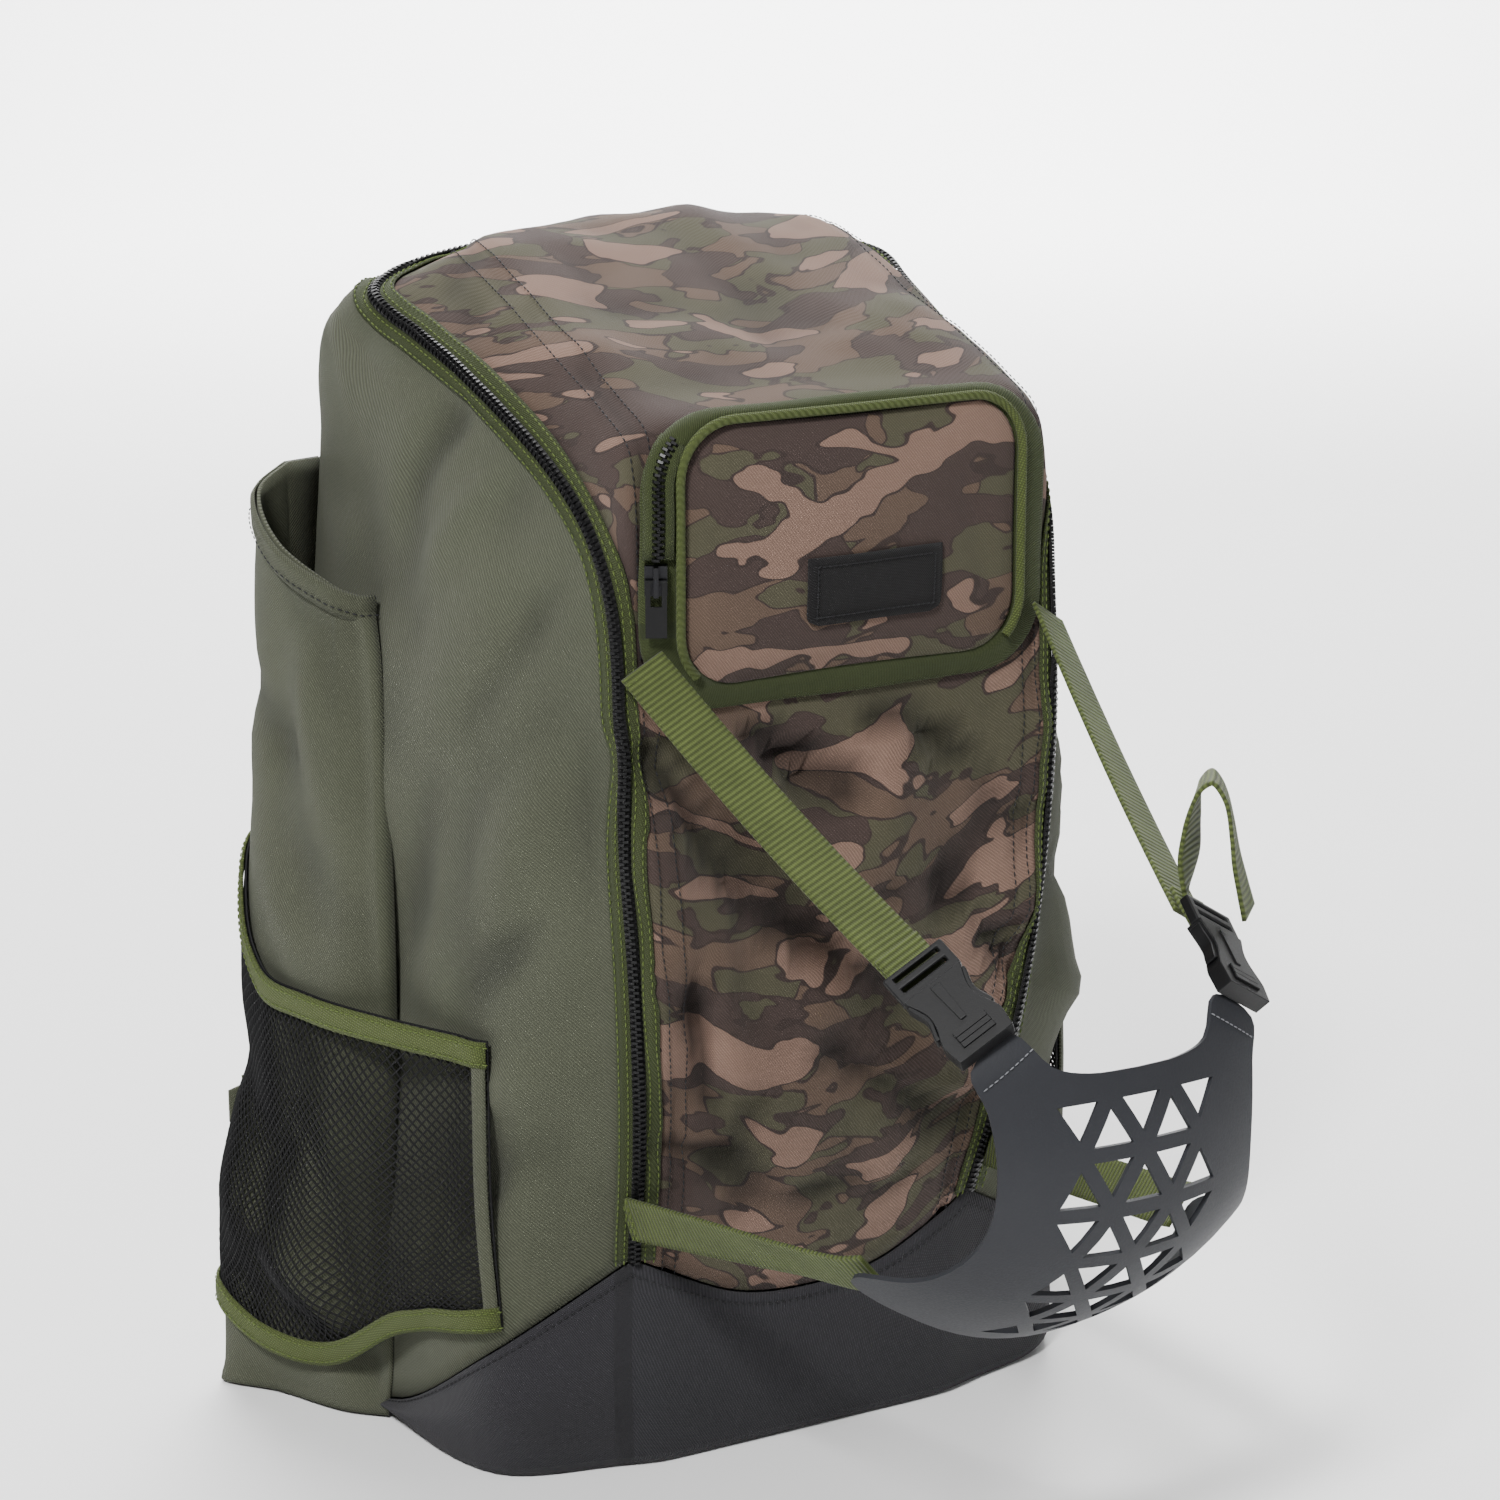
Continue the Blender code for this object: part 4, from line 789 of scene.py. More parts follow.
class Threads:
    """Collects the stitches of one colour into one piece."""

    def __init__(self):
        self.verts, self.faces = [], []

    def line(self, path, facing, pitch=0.0033, length=0.0023, radius=0.00032):
        """Thread stitches along a line: a small spindle for each, lying on the cloth."""
        spots = along_pitch(np.asarray(path), pitch)
        facing = np.asarray(facing)
        if len(facing) != len(spots):
            facing = spread(facing, len(spots))
        along = unit(np.gradient(spots, axis=0))
        side = unit(np.cross(along, facing))
        turns = np.linspace(0, math.tau, SPINDLE_SIDES + 1)[:-1]
        for p, a, f, s in zip(spots, along, facing, side):
            first = len(self.verts)
            for reach, wide in ((-0.5, 0.35), (-0.2, 1.0), (0.2, 1.0), (0.5, 0.35)):
                middle = p + a * length * reach + f * radius * (0.2 + wide * 0.6)
                self.verts += [middle + radius * wide * (s * math.cos(t) + f * math.sin(t))
                               for t in turns]
            for b in range(first, first + 3 * SPINDLE_SIDES, SPINDLE_SIDES):
                for turn in range(SPINDLE_SIDES):
                    ahead = (turn + 1) % SPINDLE_SIDES
                    self.faces.append((b + turn, b + ahead, b + SPINDLE_SIDES + ahead,
                                       b + SPINDLE_SIDES + turn))
            last = first + 3 * SPINDLE_SIDES
            self.faces.append(tuple(first + k for k in reversed(range(SPINDLE_SIDES))))
            self.faces.append(tuple(last + k for k in range(SPINDLE_SIDES)))

    def make(self, name, finish, slot):
        """Adds the piece that holds every stitch of the colour."""
        piece(name, mesh_of(name, self.verts, self.faces), finish, slot)


def ribbon_grid(middle, side, facing, half, columns=5, crown=0.0):
    """A band's grid, its rows along the line; its middle may stand a little proud."""
    return np.stack([middle + side * half * s + facing * crown * (1 - s * s)
                     for s in np.linspace(-1, 1, columns)], axis=1)


def folded(grid, folds, side_axis=0):
    """How far each fold lifts or sinks the points of a grid, seen along its third axis."""
    flat = grid[..., [side_axis, 2]]
    depth = np.zeros(grid.shape[:-1])
    for x0, z0, x1, z1, width, lift in folds:
        start = np.array((x0, z0))
        way = np.array((x1, z1)) - start
        share = np.clip((flat - start) @ way / (way @ way), 0, 1)
        off = np.linalg.norm(flat - start - share[..., None] * way, axis=-1)
        depth += lift * np.exp(-((off / width) ** 2)) * np.sin(np.pi * (0.12 + 0.76 * share))
    return depth


def wrinkled(grid, amount, scale, hold, seed, stretch):
    """Pushes a grid in and out along its normals, by noise that is longer upward; hold says how
    much of it each point takes."""
    spots = grid * (1, 1, stretch)
    field = wobble(spots, scale, seed) + 0.45 * wobble(spots, 2.3 * scale, seed + 11)
    ridged = np.sign(field) * np.abs(field) ** 1.2 * hold
    return grid + normals(grid) * (ridged * amount)[..., None]


def edge_hold(grid, low=6, high=6, left=4, right=4):
    """1 in the middle of a grid, and 0 at each edge that is sewn down."""
    def fade(count, first, last):
        spot = np.arange(count)
        both = np.clip(spot / first, 0, 1) * np.clip((count - 1 - spot) / last, 0, 1)
        return both * both * (3 - 2 * both)
    return np.outer(fade(grid.shape[0], low, high), fade(grid.shape[1], left, right))


# The finishes. Each name starts with that of the slot which it fills.
TWILL_GREEN = woven("green_fabric_cloth", GREEN)
TWILL_BOOT = woven("base_fabric_cloth", BOOT, depth=0.3, pitch=0.0012)
CAMO = camouflage("camo_fabric_cloth")
OLIVE_WEB = webbing("olive_webbing_ribbed", OLIVE)
OLIVE_KNIT = knitted("olive_webbing_knit", OLIVE)
OLIVE_TAPE = knitted("olive_webbing_tape", OLIVE_DARK, pitch=0.0009)
OLIVE_CLOTH = woven("olive_webbing_cloth", OLIVE_DARK, pitch=0.0011)
SHEET = coated("carrier_sheet_face", CARRIER_GREY, rough=0.55, grain=0.25, scale=1100)
PLASTIC = coated("black_plastic_moulded", BLACK, rough=0.42, grain=0.12, scale=1600)
TEETH = coated("black_plastic_teeth", BLACK, rough=0.38, grain=0.05)
PATCH = woven("black_plastic_patch", (26, 25, 26), depth=0.35, pitch=0.0009, rough=0.9)
METAL = coated("dark_metal_plate", (46, 46, 48), rough=0.32, grain=0.1, metallic=0.9)
NET = coated("black_mesh_net", (20, 20, 21), rough=0.7, grain=0.1)
SPACER = air_mesh("black_mesh_spacer", (22, 22, 24))
THREAD_OLIVE = coated("olive_webbing_thread", (84, 98, 48), rough=0.7)
THREAD_DARK = coated("base_fabric_thread", (30, 30, 32), rough=0.6)
THREAD_PALE = coated("carrier_sheet_thread", (120, 122, 126), rough=0.6)


def side_flip(grid, flip):
    """The grid, or for the left side its mirror image."""
    return grid if flip[0] > 0 else mirrored_grid(grid)


def dress_shells():
    """The camouflage front and the green body, folded and puckered between their seams."""
    low = POCKET_TOP - POCKET_HEIGHT - POCKET_FLARE
    beside = np.clip((np.abs(FRONT[..., 0]) - POCKET_WIDTH / 2 - POCKET_FLARE) / 0.01, 0, 1)
    above = np.clip((FRONT[..., 2] - POCKET_TOP) / 0.015, 0, 1)
    below = np.clip((low - FRONT[..., 2]) / 0.012, 0, 1)
    hold = edge_hold(FRONT) * np.maximum(np.maximum(beside, above), below)
    panel = FRONT + normals(FRONT) * (folded(FRONT, FRONT_FOLDS) * hold)[..., None]
    panel = wrinkled(panel, 0.0110, 21, hold * (0.45 + 0.55 * below), seed=1, stretch=0.6)
    seams = (COLUMN_STEPS, panel.shape[1] - 1 - COLUMN_STEPS)
    out = normals(panel)
    for seam in seams:
        for off, share in ((-1, 0.35), (0, 1.0), (1, 0.35)):
            panel[:, seam + off] -= out[:, seam + off] * SEAM_GROOVE * share
    # The plain grid gives the pattern's lengths and the painted shade in the creases.
    cloth("front_shell", panel, CLOTH, CAMO, "camo_fabric", "front_panel", plain=FRONT)
    out = normals(panel)
    for seam in seams:
        for column in (seam + 1, seam - 1):
            DARK.line(panel[:, column] + out[:, column] * SEAT, out[:, column])
    hold = edge_hold(BODY)
    hold[:, 4 * COLUMN_STEPS: -4 * COLUMN_STEPS] *= 0.15
    shell = wrinkled(BODY, 0.0095, 13, hold, seed=4, stretch=0.7)
    shell = shell + normals(BODY) * (folded(BODY, SIDE_FOLDS, 1) * hold)[..., None]
    # The plain grid gives the pattern's lengths and the painted shade in the creases.
    cloth("body_shell", shell, CLOTH, TWILL_GREEN, "green_fabric", "main_body", plain=BODY)
    return panel, shell


def dress_base():
    """The boot: its sole, its rounded lip and its slightly swollen wall."""
    sole, knee, rim = BASE
    flat = unit(knee * (1, 1, 0))
    rows = [sole + (0, 0, SEAT)]
    for turn in np.radians((35, 62)):
        rows.append(knee * (1, 1, 1 - math.cos(turn)) - flat * SOLE_LIP * (1 - math.sin(turn)))
    for share in np.linspace(0, 1, 15):
        swell = 0.0022 * math.sin(math.pi * min(1, share * 1.15)) + 0.0012
        rows.append(knee + (rim - knee) * share + flat * swell)
    grid = np.stack(rows + [rim + flat * 0.0002])
    count = np.arange(len(grid))
    fade = np.clip(np.minimum(count, count[::-1]) / 4, 0, 1)[:, None]
    grid = grid + flat * (wobble(grid * (1, 1, 1.6), 26, 9) * 0.0016 * fade)[..., None]
    cloth("boot", grid, BASE_WALL, TWILL_BOOT, "base_fabric", "base", closed=True, cap="first")
    around = [*range(len(flat)), 0]
    DARK.line(grid[-3, around] + flat[around] * SEAT, flat[around])


def teeth(name, path, side, facing, node, half, pitch, thick):
    """A coil: two rows of small interlocking loops along the path."""
    spots = along_pitch(path, pitch)
    side, facing = spread(side, len(spots)), spread(facing, len(spots))
    along = unit(np.gradient(spots, axis=0))
    verts, faces = [], []
    profile = ((-1.0, 0.15), (-0.72, 0.85), (0.1, 1.0), (0.30, 0.55))
    for index, (p, s, f, a) in enumerate(zip(spots, side, facing, along)):
        first, turn = len(verts), 1 if index % 2 else -1
        verts += [p + s * half * reach * turn + a * pitch * step + f * thick * height
                  for reach, rise in profile for step in (-0.42, 0.42)
                  for height in (max(rise - 0.55, 0), rise)]
        last = len(verts) - 4
        faces += [(b + i, b + j, b + 4 + j, b + 4 + i) for b in range(first, last, 4)
                  for i, j in ((0, 1), (1, 3), (3, 2), (2, 0))]
        faces += [(first, first + 2, first + 3, first + 1), (last, last + 1, last + 3, last + 2)]
    mesh = facing_out(mesh_of(name, verts, faces))
    piece(name, mesh, TEETH, "black_plastic", node, soft=False)


def band_on(tree, line, half, lift, columns):
    """A band laid on a surface along a line, with the directions to its side and out of it."""
    facing = smoothed(unit(nearest(tree, line, 1)))
    side = unit(np.cross(smoothed(unit(np.gradient(line, axis=0))), facing))
    grid = [nearest(tree, line + side * half * share) + facing * lift
            for share in np.linspace(-1, 1, columns)]
    return np.stack(grid, axis=1), side, facing


def dress_main_zip(panel, shell):
    """The main zip: its tape, its bed and its coil along the front panel's edge."""
    up = FRONT[:-1, -1]
    line = along_pitch(np.concatenate([up, FRONT[-1, ::-1], mirrored(up[::-1])]), 0.004)
    for _ in range(4):
        line[1:-1] = (line[:-2] + line[1:-1] * 2 + line[2:]) / 4
    band, side, facing = band_on(tree_of(panel, shell), line, TAPE_HALF, 0.0007, 7)
    cloth("zip_tape", band, TAPE_THICK, OLIVE_TAPE, "olive_webbing", "main_zip_tape", outside=True)
    middle = band[:, 3] + facing * TAPE_THICK
    bed = ribbon_grid(middle, side, facing, COIL_HALF, crown=0.0008)
    cloth("zip_bed", bed, 0.0006, PATCH, "black_plastic", outside=True)
    teeth("zip_coil", middle + facing * 0.0005, side, facing, "main_zip_coil", half=0.0028,
          pitch=0.00135, thick=0.0019)
    for low, high, share in ((0, 1, 0.3), (1, 2, 0.5), (5, 4, 0.5), (6, 5, 0.3)):
        OLIVE_THREAD.line(band[:, low] + (band[:, high] - band[:, low]) * share + facing * 0.0011,
                          facing)


def dress_pocket():
    """The raised pocket: its wall with a lip turned in, its crowned face, piping and label."""
    root, rim = pocket_rings()
    back, centre = rim + (0, (CLOTH + SEAT) / 2, 0), rim.mean(axis=0)
    shares = np.linspace(0, 1, 9)
    wall = np.stack([root + (back - root) * share for share in shares])
    outward = unit((wall - wall.mean(axis=(0, 1))) * (1, 0.15, 1))
    bulge = np.sin(np.pi * shares)[:, None]
    wall = wall + outward * (0.0018 * bulge + wobble(wall, 32, 5) * 0.0010 * bulge)[..., None]
    inset = PIPING_INSET + PIPING_RADIUS + 2 * SEAT
    lip = [toward(back, centre, inset * share) + (0, 0.0011 * share, 0)
           for share in (0.35, 0.7, 1.05, 1.4)]
    cloth("pocket_wall", np.concatenate([wall, lip]), CLOTH, OLIVE_CLOTH, "olive_webbing",
          "pocket_gusset", outside=True, closed=True)
    inner = toward(rim, centre, inset) - (0, PIPING_RADIUS, 0)
    middle = inner.mean(axis=0)
    shares = np.array([1.0, 0.985, 0.96, 0.93, 0.89, 0.84, *np.linspace(0.78, 0.04, 22)])
    faces = np.stack([middle + (inner - middle) * share for share in shares])
    edge = 1 - np.clip((1 - shares) / 0.10, 0, 1)
    faces[..., 1] -= ((POCKET_CROWN + EDGE_DIP) * (1 - shares ** 2) - EDGE_DIP * edge)[:, None]
    puff = wobble(faces, 24, 8) * 0.0022 + folded(faces, POCKET_FOLDS)
    faces[..., 1] -= puff * np.clip((1 - shares) / 0.15, 0, 1)[:, None]
    mesh = cloth_mesh("pocket_front", faces, True, "last")
    set_places(mesh, faces.reshape(-1, 3)[:, [0, 2]] + (0.31, 0.02))
    walled(piece("pocket_front", mesh, CAMO, "camo_fabric", "pocket_face"), CLOTH)
    # The piping runs from the middle of the lower right corner round to that of the lower left.
    start, end = 5 * RING_STEPS // 2 + 1, RING_STEPS // 2 + 1
    path = toward(rim, centre, PIPING_INSET) - (0, PIPING_RADIUS + SEAT, 0)
    path = np.concatenate([path[start:], path[:end]])
    cord("pocket_cord", path, PIPING_RADIUS, "pocket_piping")
    OLIVE_THREAD.line(path + (0, PIPING_RADIUS * 2.6, 0), unit((path - middle) * (1, 0, 1)))
    dress_pocket_zip(root, rim)
    label_patch(faces)


def dress_pocket_zip(root, rim):
    """The zip in the pocket's left wall, from its slider up."""
    path = (root + rim) / 2
    clear = SLIDER_Z + SLIDER_LENGTH / 2 + SEAM_GAP
    low = 3 * (2 * RING_STEPS + 1) + RING_STEPS // 2
    picked = [k for k in range(low, len(rim)) if path[k, 2] > clear]
    across, path = unit(rim[picked] - root[picked]), path[picked]
    along = unit(np.gradient(path, axis=0))
    facing = unit(np.cross(across, along))
    facing *= -np.sign(facing[:, 1:2])
    side = unit(np.cross(along, facing))
    ease = np.clip(1 - np.arange(len(path)) / 4, 0, 1)[:, None] * 0.0030
    base = path + facing * (CLOTH + 0.0024 - ease)
    tape = ribbon_grid(base - facing * 0.0004, side, facing, 0.0062)
    cloth("pocket_tape", tape, 0.0006, OLIVE_TAPE, "olive_webbing", outside=True)
    teeth("pocket_coil", base + facing * 0.0002, side, facing, "pocket_zip_coil", half=0.0026,
          pitch=0.0013, thick=0.0018)


def label_patch(faces):
    """The blank label, laid on the pocket's face, with its stitched border."""
    tree = tree_of(np.concatenate([faces, faces[:, :1]], axis=1))
    half, radius = LABEL_WIDTH / 2, 0.005
    grid = []
    for up in np.linspace(0, LABEL_HEIGHT, 17):
        pull = radius - math.sqrt(radius ** 2 - (radius - min(up, radius)) ** 2)
        held = np.clip(np.linspace(-half, half, 33), pull - half, half - pull)
        grid.append([cast(tree, (LABEL_X + x, -0.6, LABEL_Z - LABEL_HEIGHT / 2 + up), (0, 1, 0),
                          0.0005) for x in held])
    grid = np.array(grid)
    cloth("label_patch", grid, 0.0011, PATCH, "black_plastic", "label", outside=True)
    ring = np.concatenate([grid[2:-2, 2], grid[-3, 2:-2], grid[2:-2, -3][::-1],
                           grid[2, 2:-2][::-1]])
    DARK.line(ring - (0, 0.0014, 0), np.tile((0.0, -1.0, 0.0), (len(ring), 1)), pitch=0.0024)


def cord(name, path, radius, *nodes, closed=False):
    """A round cord along a path."""
    loop = np.concatenate([path[-1:], path, path[:1]]) if closed else path
    along = unit(np.gradient(loop, axis=0))[1:-1] if closed else unit(np.gradient(loop, axis=0))
    side = unit(np.cross(along, (0.0, -1.0, 0.0)))
    ahead = unit(np.cross(side, along))
    grid = np.stack([path + radius * (side * math.cos(t) + ahead * math.sin(t))
                     for t in np.linspace(0, math.tau, CORD_SIDES + 1)], 1)
    if closed:
        grid = np.concatenate([grid, grid[:1]])
    piece(name, cloth_mesh(name, grid), OLIVE_KNIT, "olive_webbing", *nodes)


def dress_sleeves():
    """The side sleeves with their hems; gives the right one's grid."""
    grid = dense(side_net(SLEEVE_ROWS, SLEEVE_REACH, SLEEVE_HEIGHT), 9, 14)
    for row in grid:
        for end in (0, -1):
            row[end] = on_side(*row[end][1:], SIDE_SEAT)
    plain = grid.copy()
    hold = edge_hold(grid, 3, 5, 5, 5)
    grid = wrinkled(grid, 0.0100, 15, hold, seed=21, stretch=0.55)
    grid = grid + normals(grid) * (folded(grid, SLEEVE_FOLDS, 1) * hold)[..., None]
    grid[..., 2] = np.maximum(grid[..., 2], 0.0012)
    hem = [grid[-1] + normals(grid)[-1] * lift - (0, 0, drop)
           for lift, drop in ((0.0016, 0.0), (0.0030, 0.002), (0.0028, 0.010), (0.0012, 0.0125))]
    out = normals(grid)[-1] * (1, 1, 0)
    for side, flip in SIDES:
        # The plain grid gives the pattern's lengths and the painted shade in the creases.
        cloth(f"sleeve_cloth_{side}", side_flip(grid, flip), SLEEVE_CLOTH, TWILL_GREEN,
              "green_fabric", f"sleeve_{side}", plain=side_flip(plain, flip))
        cloth(f"sleeve_hem_{side}", side_flip(np.stack(hem[::-1]), flip), 0.001, TWILL_GREEN,
              "green_fabric")
        DARK.line((hem[2] + (0, 0, 0.0012) + out * 0.0006) * flip, unit(out) * flip)
    return grid


def sampled(grid, row_share, column_share):
    """A point of a grid by its shares of the way up and across."""
    rows, columns = grid.shape[:2]
    r, c = row_share * (rows - 1), column_share * (columns - 1)
    j, i = min(int(r), rows - 2), min(int(c), columns - 2)
    low, high = (row[i] + (row[i + 1] - row[i]) * (c - i) for row in grid[j:j + 2])
    return low + (high - low) * (r - j)


def net_grid(sleeve):
    """The right net's surface: sewn to the body in front, and lying on the sleeve behind."""
    net = side_net(MESH_ROWS, MESH_REACH, MESH_HEIGHT)
    behind = net[:, -1:] * (0, 0, 1) + (HALF + 0.014, BACK_Y - 0.001, 0)
    grid = dense(np.concatenate([net, behind], axis=1), 8, 12)
    for row in grid:
        row[0] = on_side(*row[0][1:], SIDE_SEAT)
        for spot in row[1:-1]:
            spot[0] = max(spot[0], on_side(*spot[1:], 3 * SIDE_SEAT)[0])
    grid = wrinkled(grid, 0.0060, 18, edge_hold(grid, 4, 4), seed=31, stretch=0.6)
    under = tree_of(sleeve)
    for row in grid:
        for k, spot in enumerate(row):
            hit = under.ray_cast(Vector((BODY_WIDTH, spot[1], max(spot[2], 0.004))), (-1, 0, 0))[0]
            if hit is not None:
                tuck = np.clip((k / (len(row) - 1) - 0.45) / 0.3, 0, 1)
                tuck = tuck * tuck * (3 - 2 * tuck)
                near = hit.x + NET_CLEAR * (1 - 0.5 * tuck)
                spot[0] = max(near, spot[0] + (near - spot[0]) * tuck)
    return grid


def net_cells(grid):
    """Diamond cells over a grid: the points at their corners and the cells themselves."""
    u, v = lengths(grid)
    across = 2 * int(np.mean(u[:, -1] - u[:, 0]) / CELL_WIDTH)
    up = 2 * int(np.mean(v[-1]) / CELL_HEIGHT)
    places, cells = {}, []
    for j in range(up + 1):
        for i in range(1 - j % 2, across + 1, 2):
            corners = ((i - 1, j), (i, j - 1), (i + 1, j), (i, j + 1))
            held = [(min(max(a, 0), across), min(max(b, 0), up)) for a, b in corners]
            held = [c for k, c in enumerate(held) if c != held[k - 1]]
            if len(set(held)) >= 3:
                cells.append([places.setdefault(c, len(places)) for c in held])
    return [sampled(grid, b / up, a / across) for a, b in places], cells


def between(near, far, out, lifts):
    """A band's grid from one edge to the other, standing out by these lifts on its way."""
    shares = np.linspace(0, 1, len(lifts))
    return [near + (far - near) * share + out * lift for share, lift in zip(shares, lifts)]


def dress_mesh_pockets(sleeve):
    """The nets, strand by strand, with their elastic edges and their seams."""
    grid = net_grid(sleeve)
    points, cells = net_cells(grid)
    out, columns = normals(grid), np.swapaxes(grid, 0, 1)
    lift = MESH_THICK * 0.6 + 0.0004
    seam = np.stack(between(walk(grid, 0.0005), walk(grid, 0.0065), out[:, 1],
                            [lift + 0.0001] * 4), axis=1)
    for side, flip in SIDES:
        faces = cells if flip[0] > 0 else [cell[::-1] for cell in cells]
        mesh = mesh_of(f"net_{side}", [p * flip for p in points], faces)
        net = piece(f"net_{side}", mesh, NET, "black_mesh", f"mesh_pocket_{side}")
        wire = net.modifiers.new("Threads", "WIREFRAME")
        wire.thickness = 0.0013
        wire.use_even_offset = False
        wire.use_boundary = True
        for name, edge in (("top", -1), ("bottom", 0)):
            inner = walk(columns[:, ::-1] if edge else columns, BINDING_WIDTH)
            low, high = (inner, grid[edge]) if edge else (grid[edge], inner)
            rolls = lift + np.sin(np.pi * np.linspace(0, 1, 7)) * 0.0006
            band = np.stack(between(low, high, out[edge], rolls))
            cloth(f"{name}_elastic_{side}", side_flip(band, flip), 0.0012, OLIVE_KNIT,
                  "olive_webbing", f"{name}_binding_{side}", outside=True)
            for row in (1, 5):
                OLIVE_THREAD.line((band[row] + out[edge] * 0.0013) * flip, out[edge] * flip,
                                  pitch=0.0030)
        cloth(f"mesh_seam_{side}", side_flip(seam, flip), 0.001, TWILL_GREEN, "green_fabric",
              outside=True)
        DARK.line(seam[:, 1] * flip, out[:, 1] * flip)


def carrier_place(across, down, out):
    """carrier_point by the smooth bend, for the sheet and what lies on it."""
    return carrier_point(across, down, out, BEND_TABLE)


def flat_faces(outline, holes, cuts=()):
    """The faces between an outline and its holes, cut along straight lines."""
    work = bmesh.new()
    for loop in (outline, *holes):
        verts = [work.verts.new((x, y, 0)) for x, y in loop]
        for a, b in zip(verts, verts[1:] + verts[:1]):
            work.edges.new((a, b))
    bmesh.ops.triangle_fill(work, use_beauty=True, edges=work.edges[:])
    bmesh.ops.recalc_face_normals(work, faces=work.faces)
    for place, facing in cuts:
        parts = work.verts[:] + work.edges[:] + work.faces[:]
        bmesh.ops.bisect_plane(work, geom=parts, dist=1e-6, plane_co=place, plane_no=facing)
    return work


def thick_plate(work, place):
    """Gives flat faces two sides; place(x, y, side) says where each goes, side being -1 or 1."""
    work.verts.ensure_lookup_table()
    work.verts.index_update()
    flat = [(v.co.x, v.co.y) for v in work.verts]
    count = len(flat)
    verts = [place(x, y, side) for side in (1, -1) for x, y in flat]
    faces = []
    for face in work.faces:
        ring = [v.index for v in face.verts][::-1 if face.normal.z < 0 else 1]
        faces.append(ring)
        faces.append([count + k for k in reversed(ring)])
        for k, a in enumerate(ring):
            b = ring[(k + 1) % len(ring)]
            edge = work.edges.get((work.verts[a], work.verts[b]))
            if len(edge.link_faces) == 1:
                faces.append((b, a, count + a, count + b))
    work.free()
    return facing_out(mesh_of("plate", verts, faces))


def dress_carrier():
    """The pierced carrier sheet with its sewn upper arms."""
    right = np.array([(across * CARRIER_HALF / DRAWN_HALF, down)
                      for across, down in CARRIER_OUTLINE])
    outline = list(map(tuple, right)) + [(-x, y) for x, y in right[::-1][1:-1]]
    closed = np.array(outline + outline[:1])
    rounded = list(map(tuple, spline(closed, 4 * (len(closed) - 1) + 1)[:-1]))
    rounded[::4] = outline
    cuts = [((x, 0, 0), (1, 0, 0)) for x in np.arange(-0.088, 0.09, 0.008)]
    cuts += [((0, y, 0), (0, 1, 0)) for y in np.arange(-0.016, 0.158, 0.006)]
    work = flat_faces(rounded, lattice_holes(), cuts)
    mesh = thick_plate(work, lambda x, y, s: carrier_place(x, y, s * CARRIER_THICK / 2))
    obj = piece("carrier_net", mesh, SHEET, "carrier_sheet", "carrier")
    mesh.set_sharp_from_angle(angle=math.radians(40))
    rounded_edges(obj, 0.0003, 1, 50)
    seam = np.linspace((0.0405, -0.0115), (0.0600, 0.0010), 9)
    for turn in (1, -1):
        spots = [carrier_place(turn * x, y, CARRIER_THICK / 2 + 0.0003) for x, y in seam]
        out = unit(carrier_place(turn * 0.05, -0.005, 1) - carrier_place(turn * 0.05, -0.005, 0))
        PALE.line(spots, np.tile(out, (9, 1)), pitch=0.0026, length=0.0019, radius=0.00028)


def web_piece(name, middle, facing, width, thick, *nodes, fine=60):
    """A flat webbing strap."""
    middle, facing = spline(middle, fine), unit(spline(facing, fine))
    side = unit(np.cross(unit(np.gradient(middle, axis=0)), facing))
    grid = ribbon_grid(middle - facing * thick / 2, side, facing, width / 2, 9)
    return cloth(name, grid, thick, OLIVE_WEB, "olive_webbing", *nodes, outside=True)


def moulded(name, outline, thick, matrix, *nodes, holes=(), round_by=0.0006):
    """A moulded plate with rounded edges, set by a matrix."""
    work = flat_faces(outline, holes)
    mesh = thick_plate(work, lambda x, y, s: matrix @ Vector((x, y, s * thick / 2)))
    obj = piece(name, mesh, PLASTIC, "black_plastic", *nodes)
    mesh.set_sharp_from_angle(angle=math.radians(35))
    rounded_edges(obj, round_by, 3, 35).harden_normals = True


def dress_buckle(side, place, along, facing):
    """A fastened side-release buckle: ladder frame, waist with its two prongs, and end bar."""
    w, l = BUCKLE_WIDTH / 2, BUCKLE_LENGTH / 2
    base = frame_of(place, along, facing)
    def box(wide, low, high):
        return ((wide * w, high * l), (-wide * w, high * l), (-wide * w, low * l),
                (wide * w, low * l))
    moulded(f"buckle_ladder_{side}", box(1, 0.42, 1), 0.0042,
            base @ Matrix.Translation((0, 0, 0.0008)), f"buckle_{side}",
            holes=(box(0.74, 0.60, 0.68), box(0.74, 0.82, 0.90)), round_by=0.0008)
    waist = [(w * (0.96 - 0.26 * math.sin(math.pi * t) ** 1.3), 0.44 * l - 1.02 * l * t)
             for t in np.linspace(0, 1, 15)]
    waist += [(0.98 * w, -0.62 * l), (0.90 * w, -l)]
    moulded(f"buckle_body_{side}", waist + [(-x, y) for x, y in reversed(waist)], 0.0072, base,
            round_by=0.0013)
    for k in range(3):
        lift = base @ Matrix.Translation((0, -0.11 * l * k, 0.0040))
        moulded(f"buckle_rib{k}_{side}", box(0.55, -0.62, -0.52), 0.0010, lift, round_by=0.0004)
    for turn, letter in ((1, "a"), (-1, "b")):
        prong = [(turn * w * (0.99 - 0.16 * math.sin(math.pi * t) ** 2), 0.36 * l - 0.80 * l * t)
                 for t in np.linspace(0, 1, 11)]
        inner = [(x - turn * PRONG_WIDTH, y) for x, y in reversed(prong)]
        moulded(f"buckle_prong{letter}_{side}", prong + inner, 0.0052, base)
    spine = [(0.16 * w, 0.36 * l), (-0.16 * w, 0.36 * l), (-0.10 * w, -0.42 * l),
             (0.10 * w, -0.42 * l)]
    moulded(f"buckle_spine_{side}", spine, 0.0084, base)


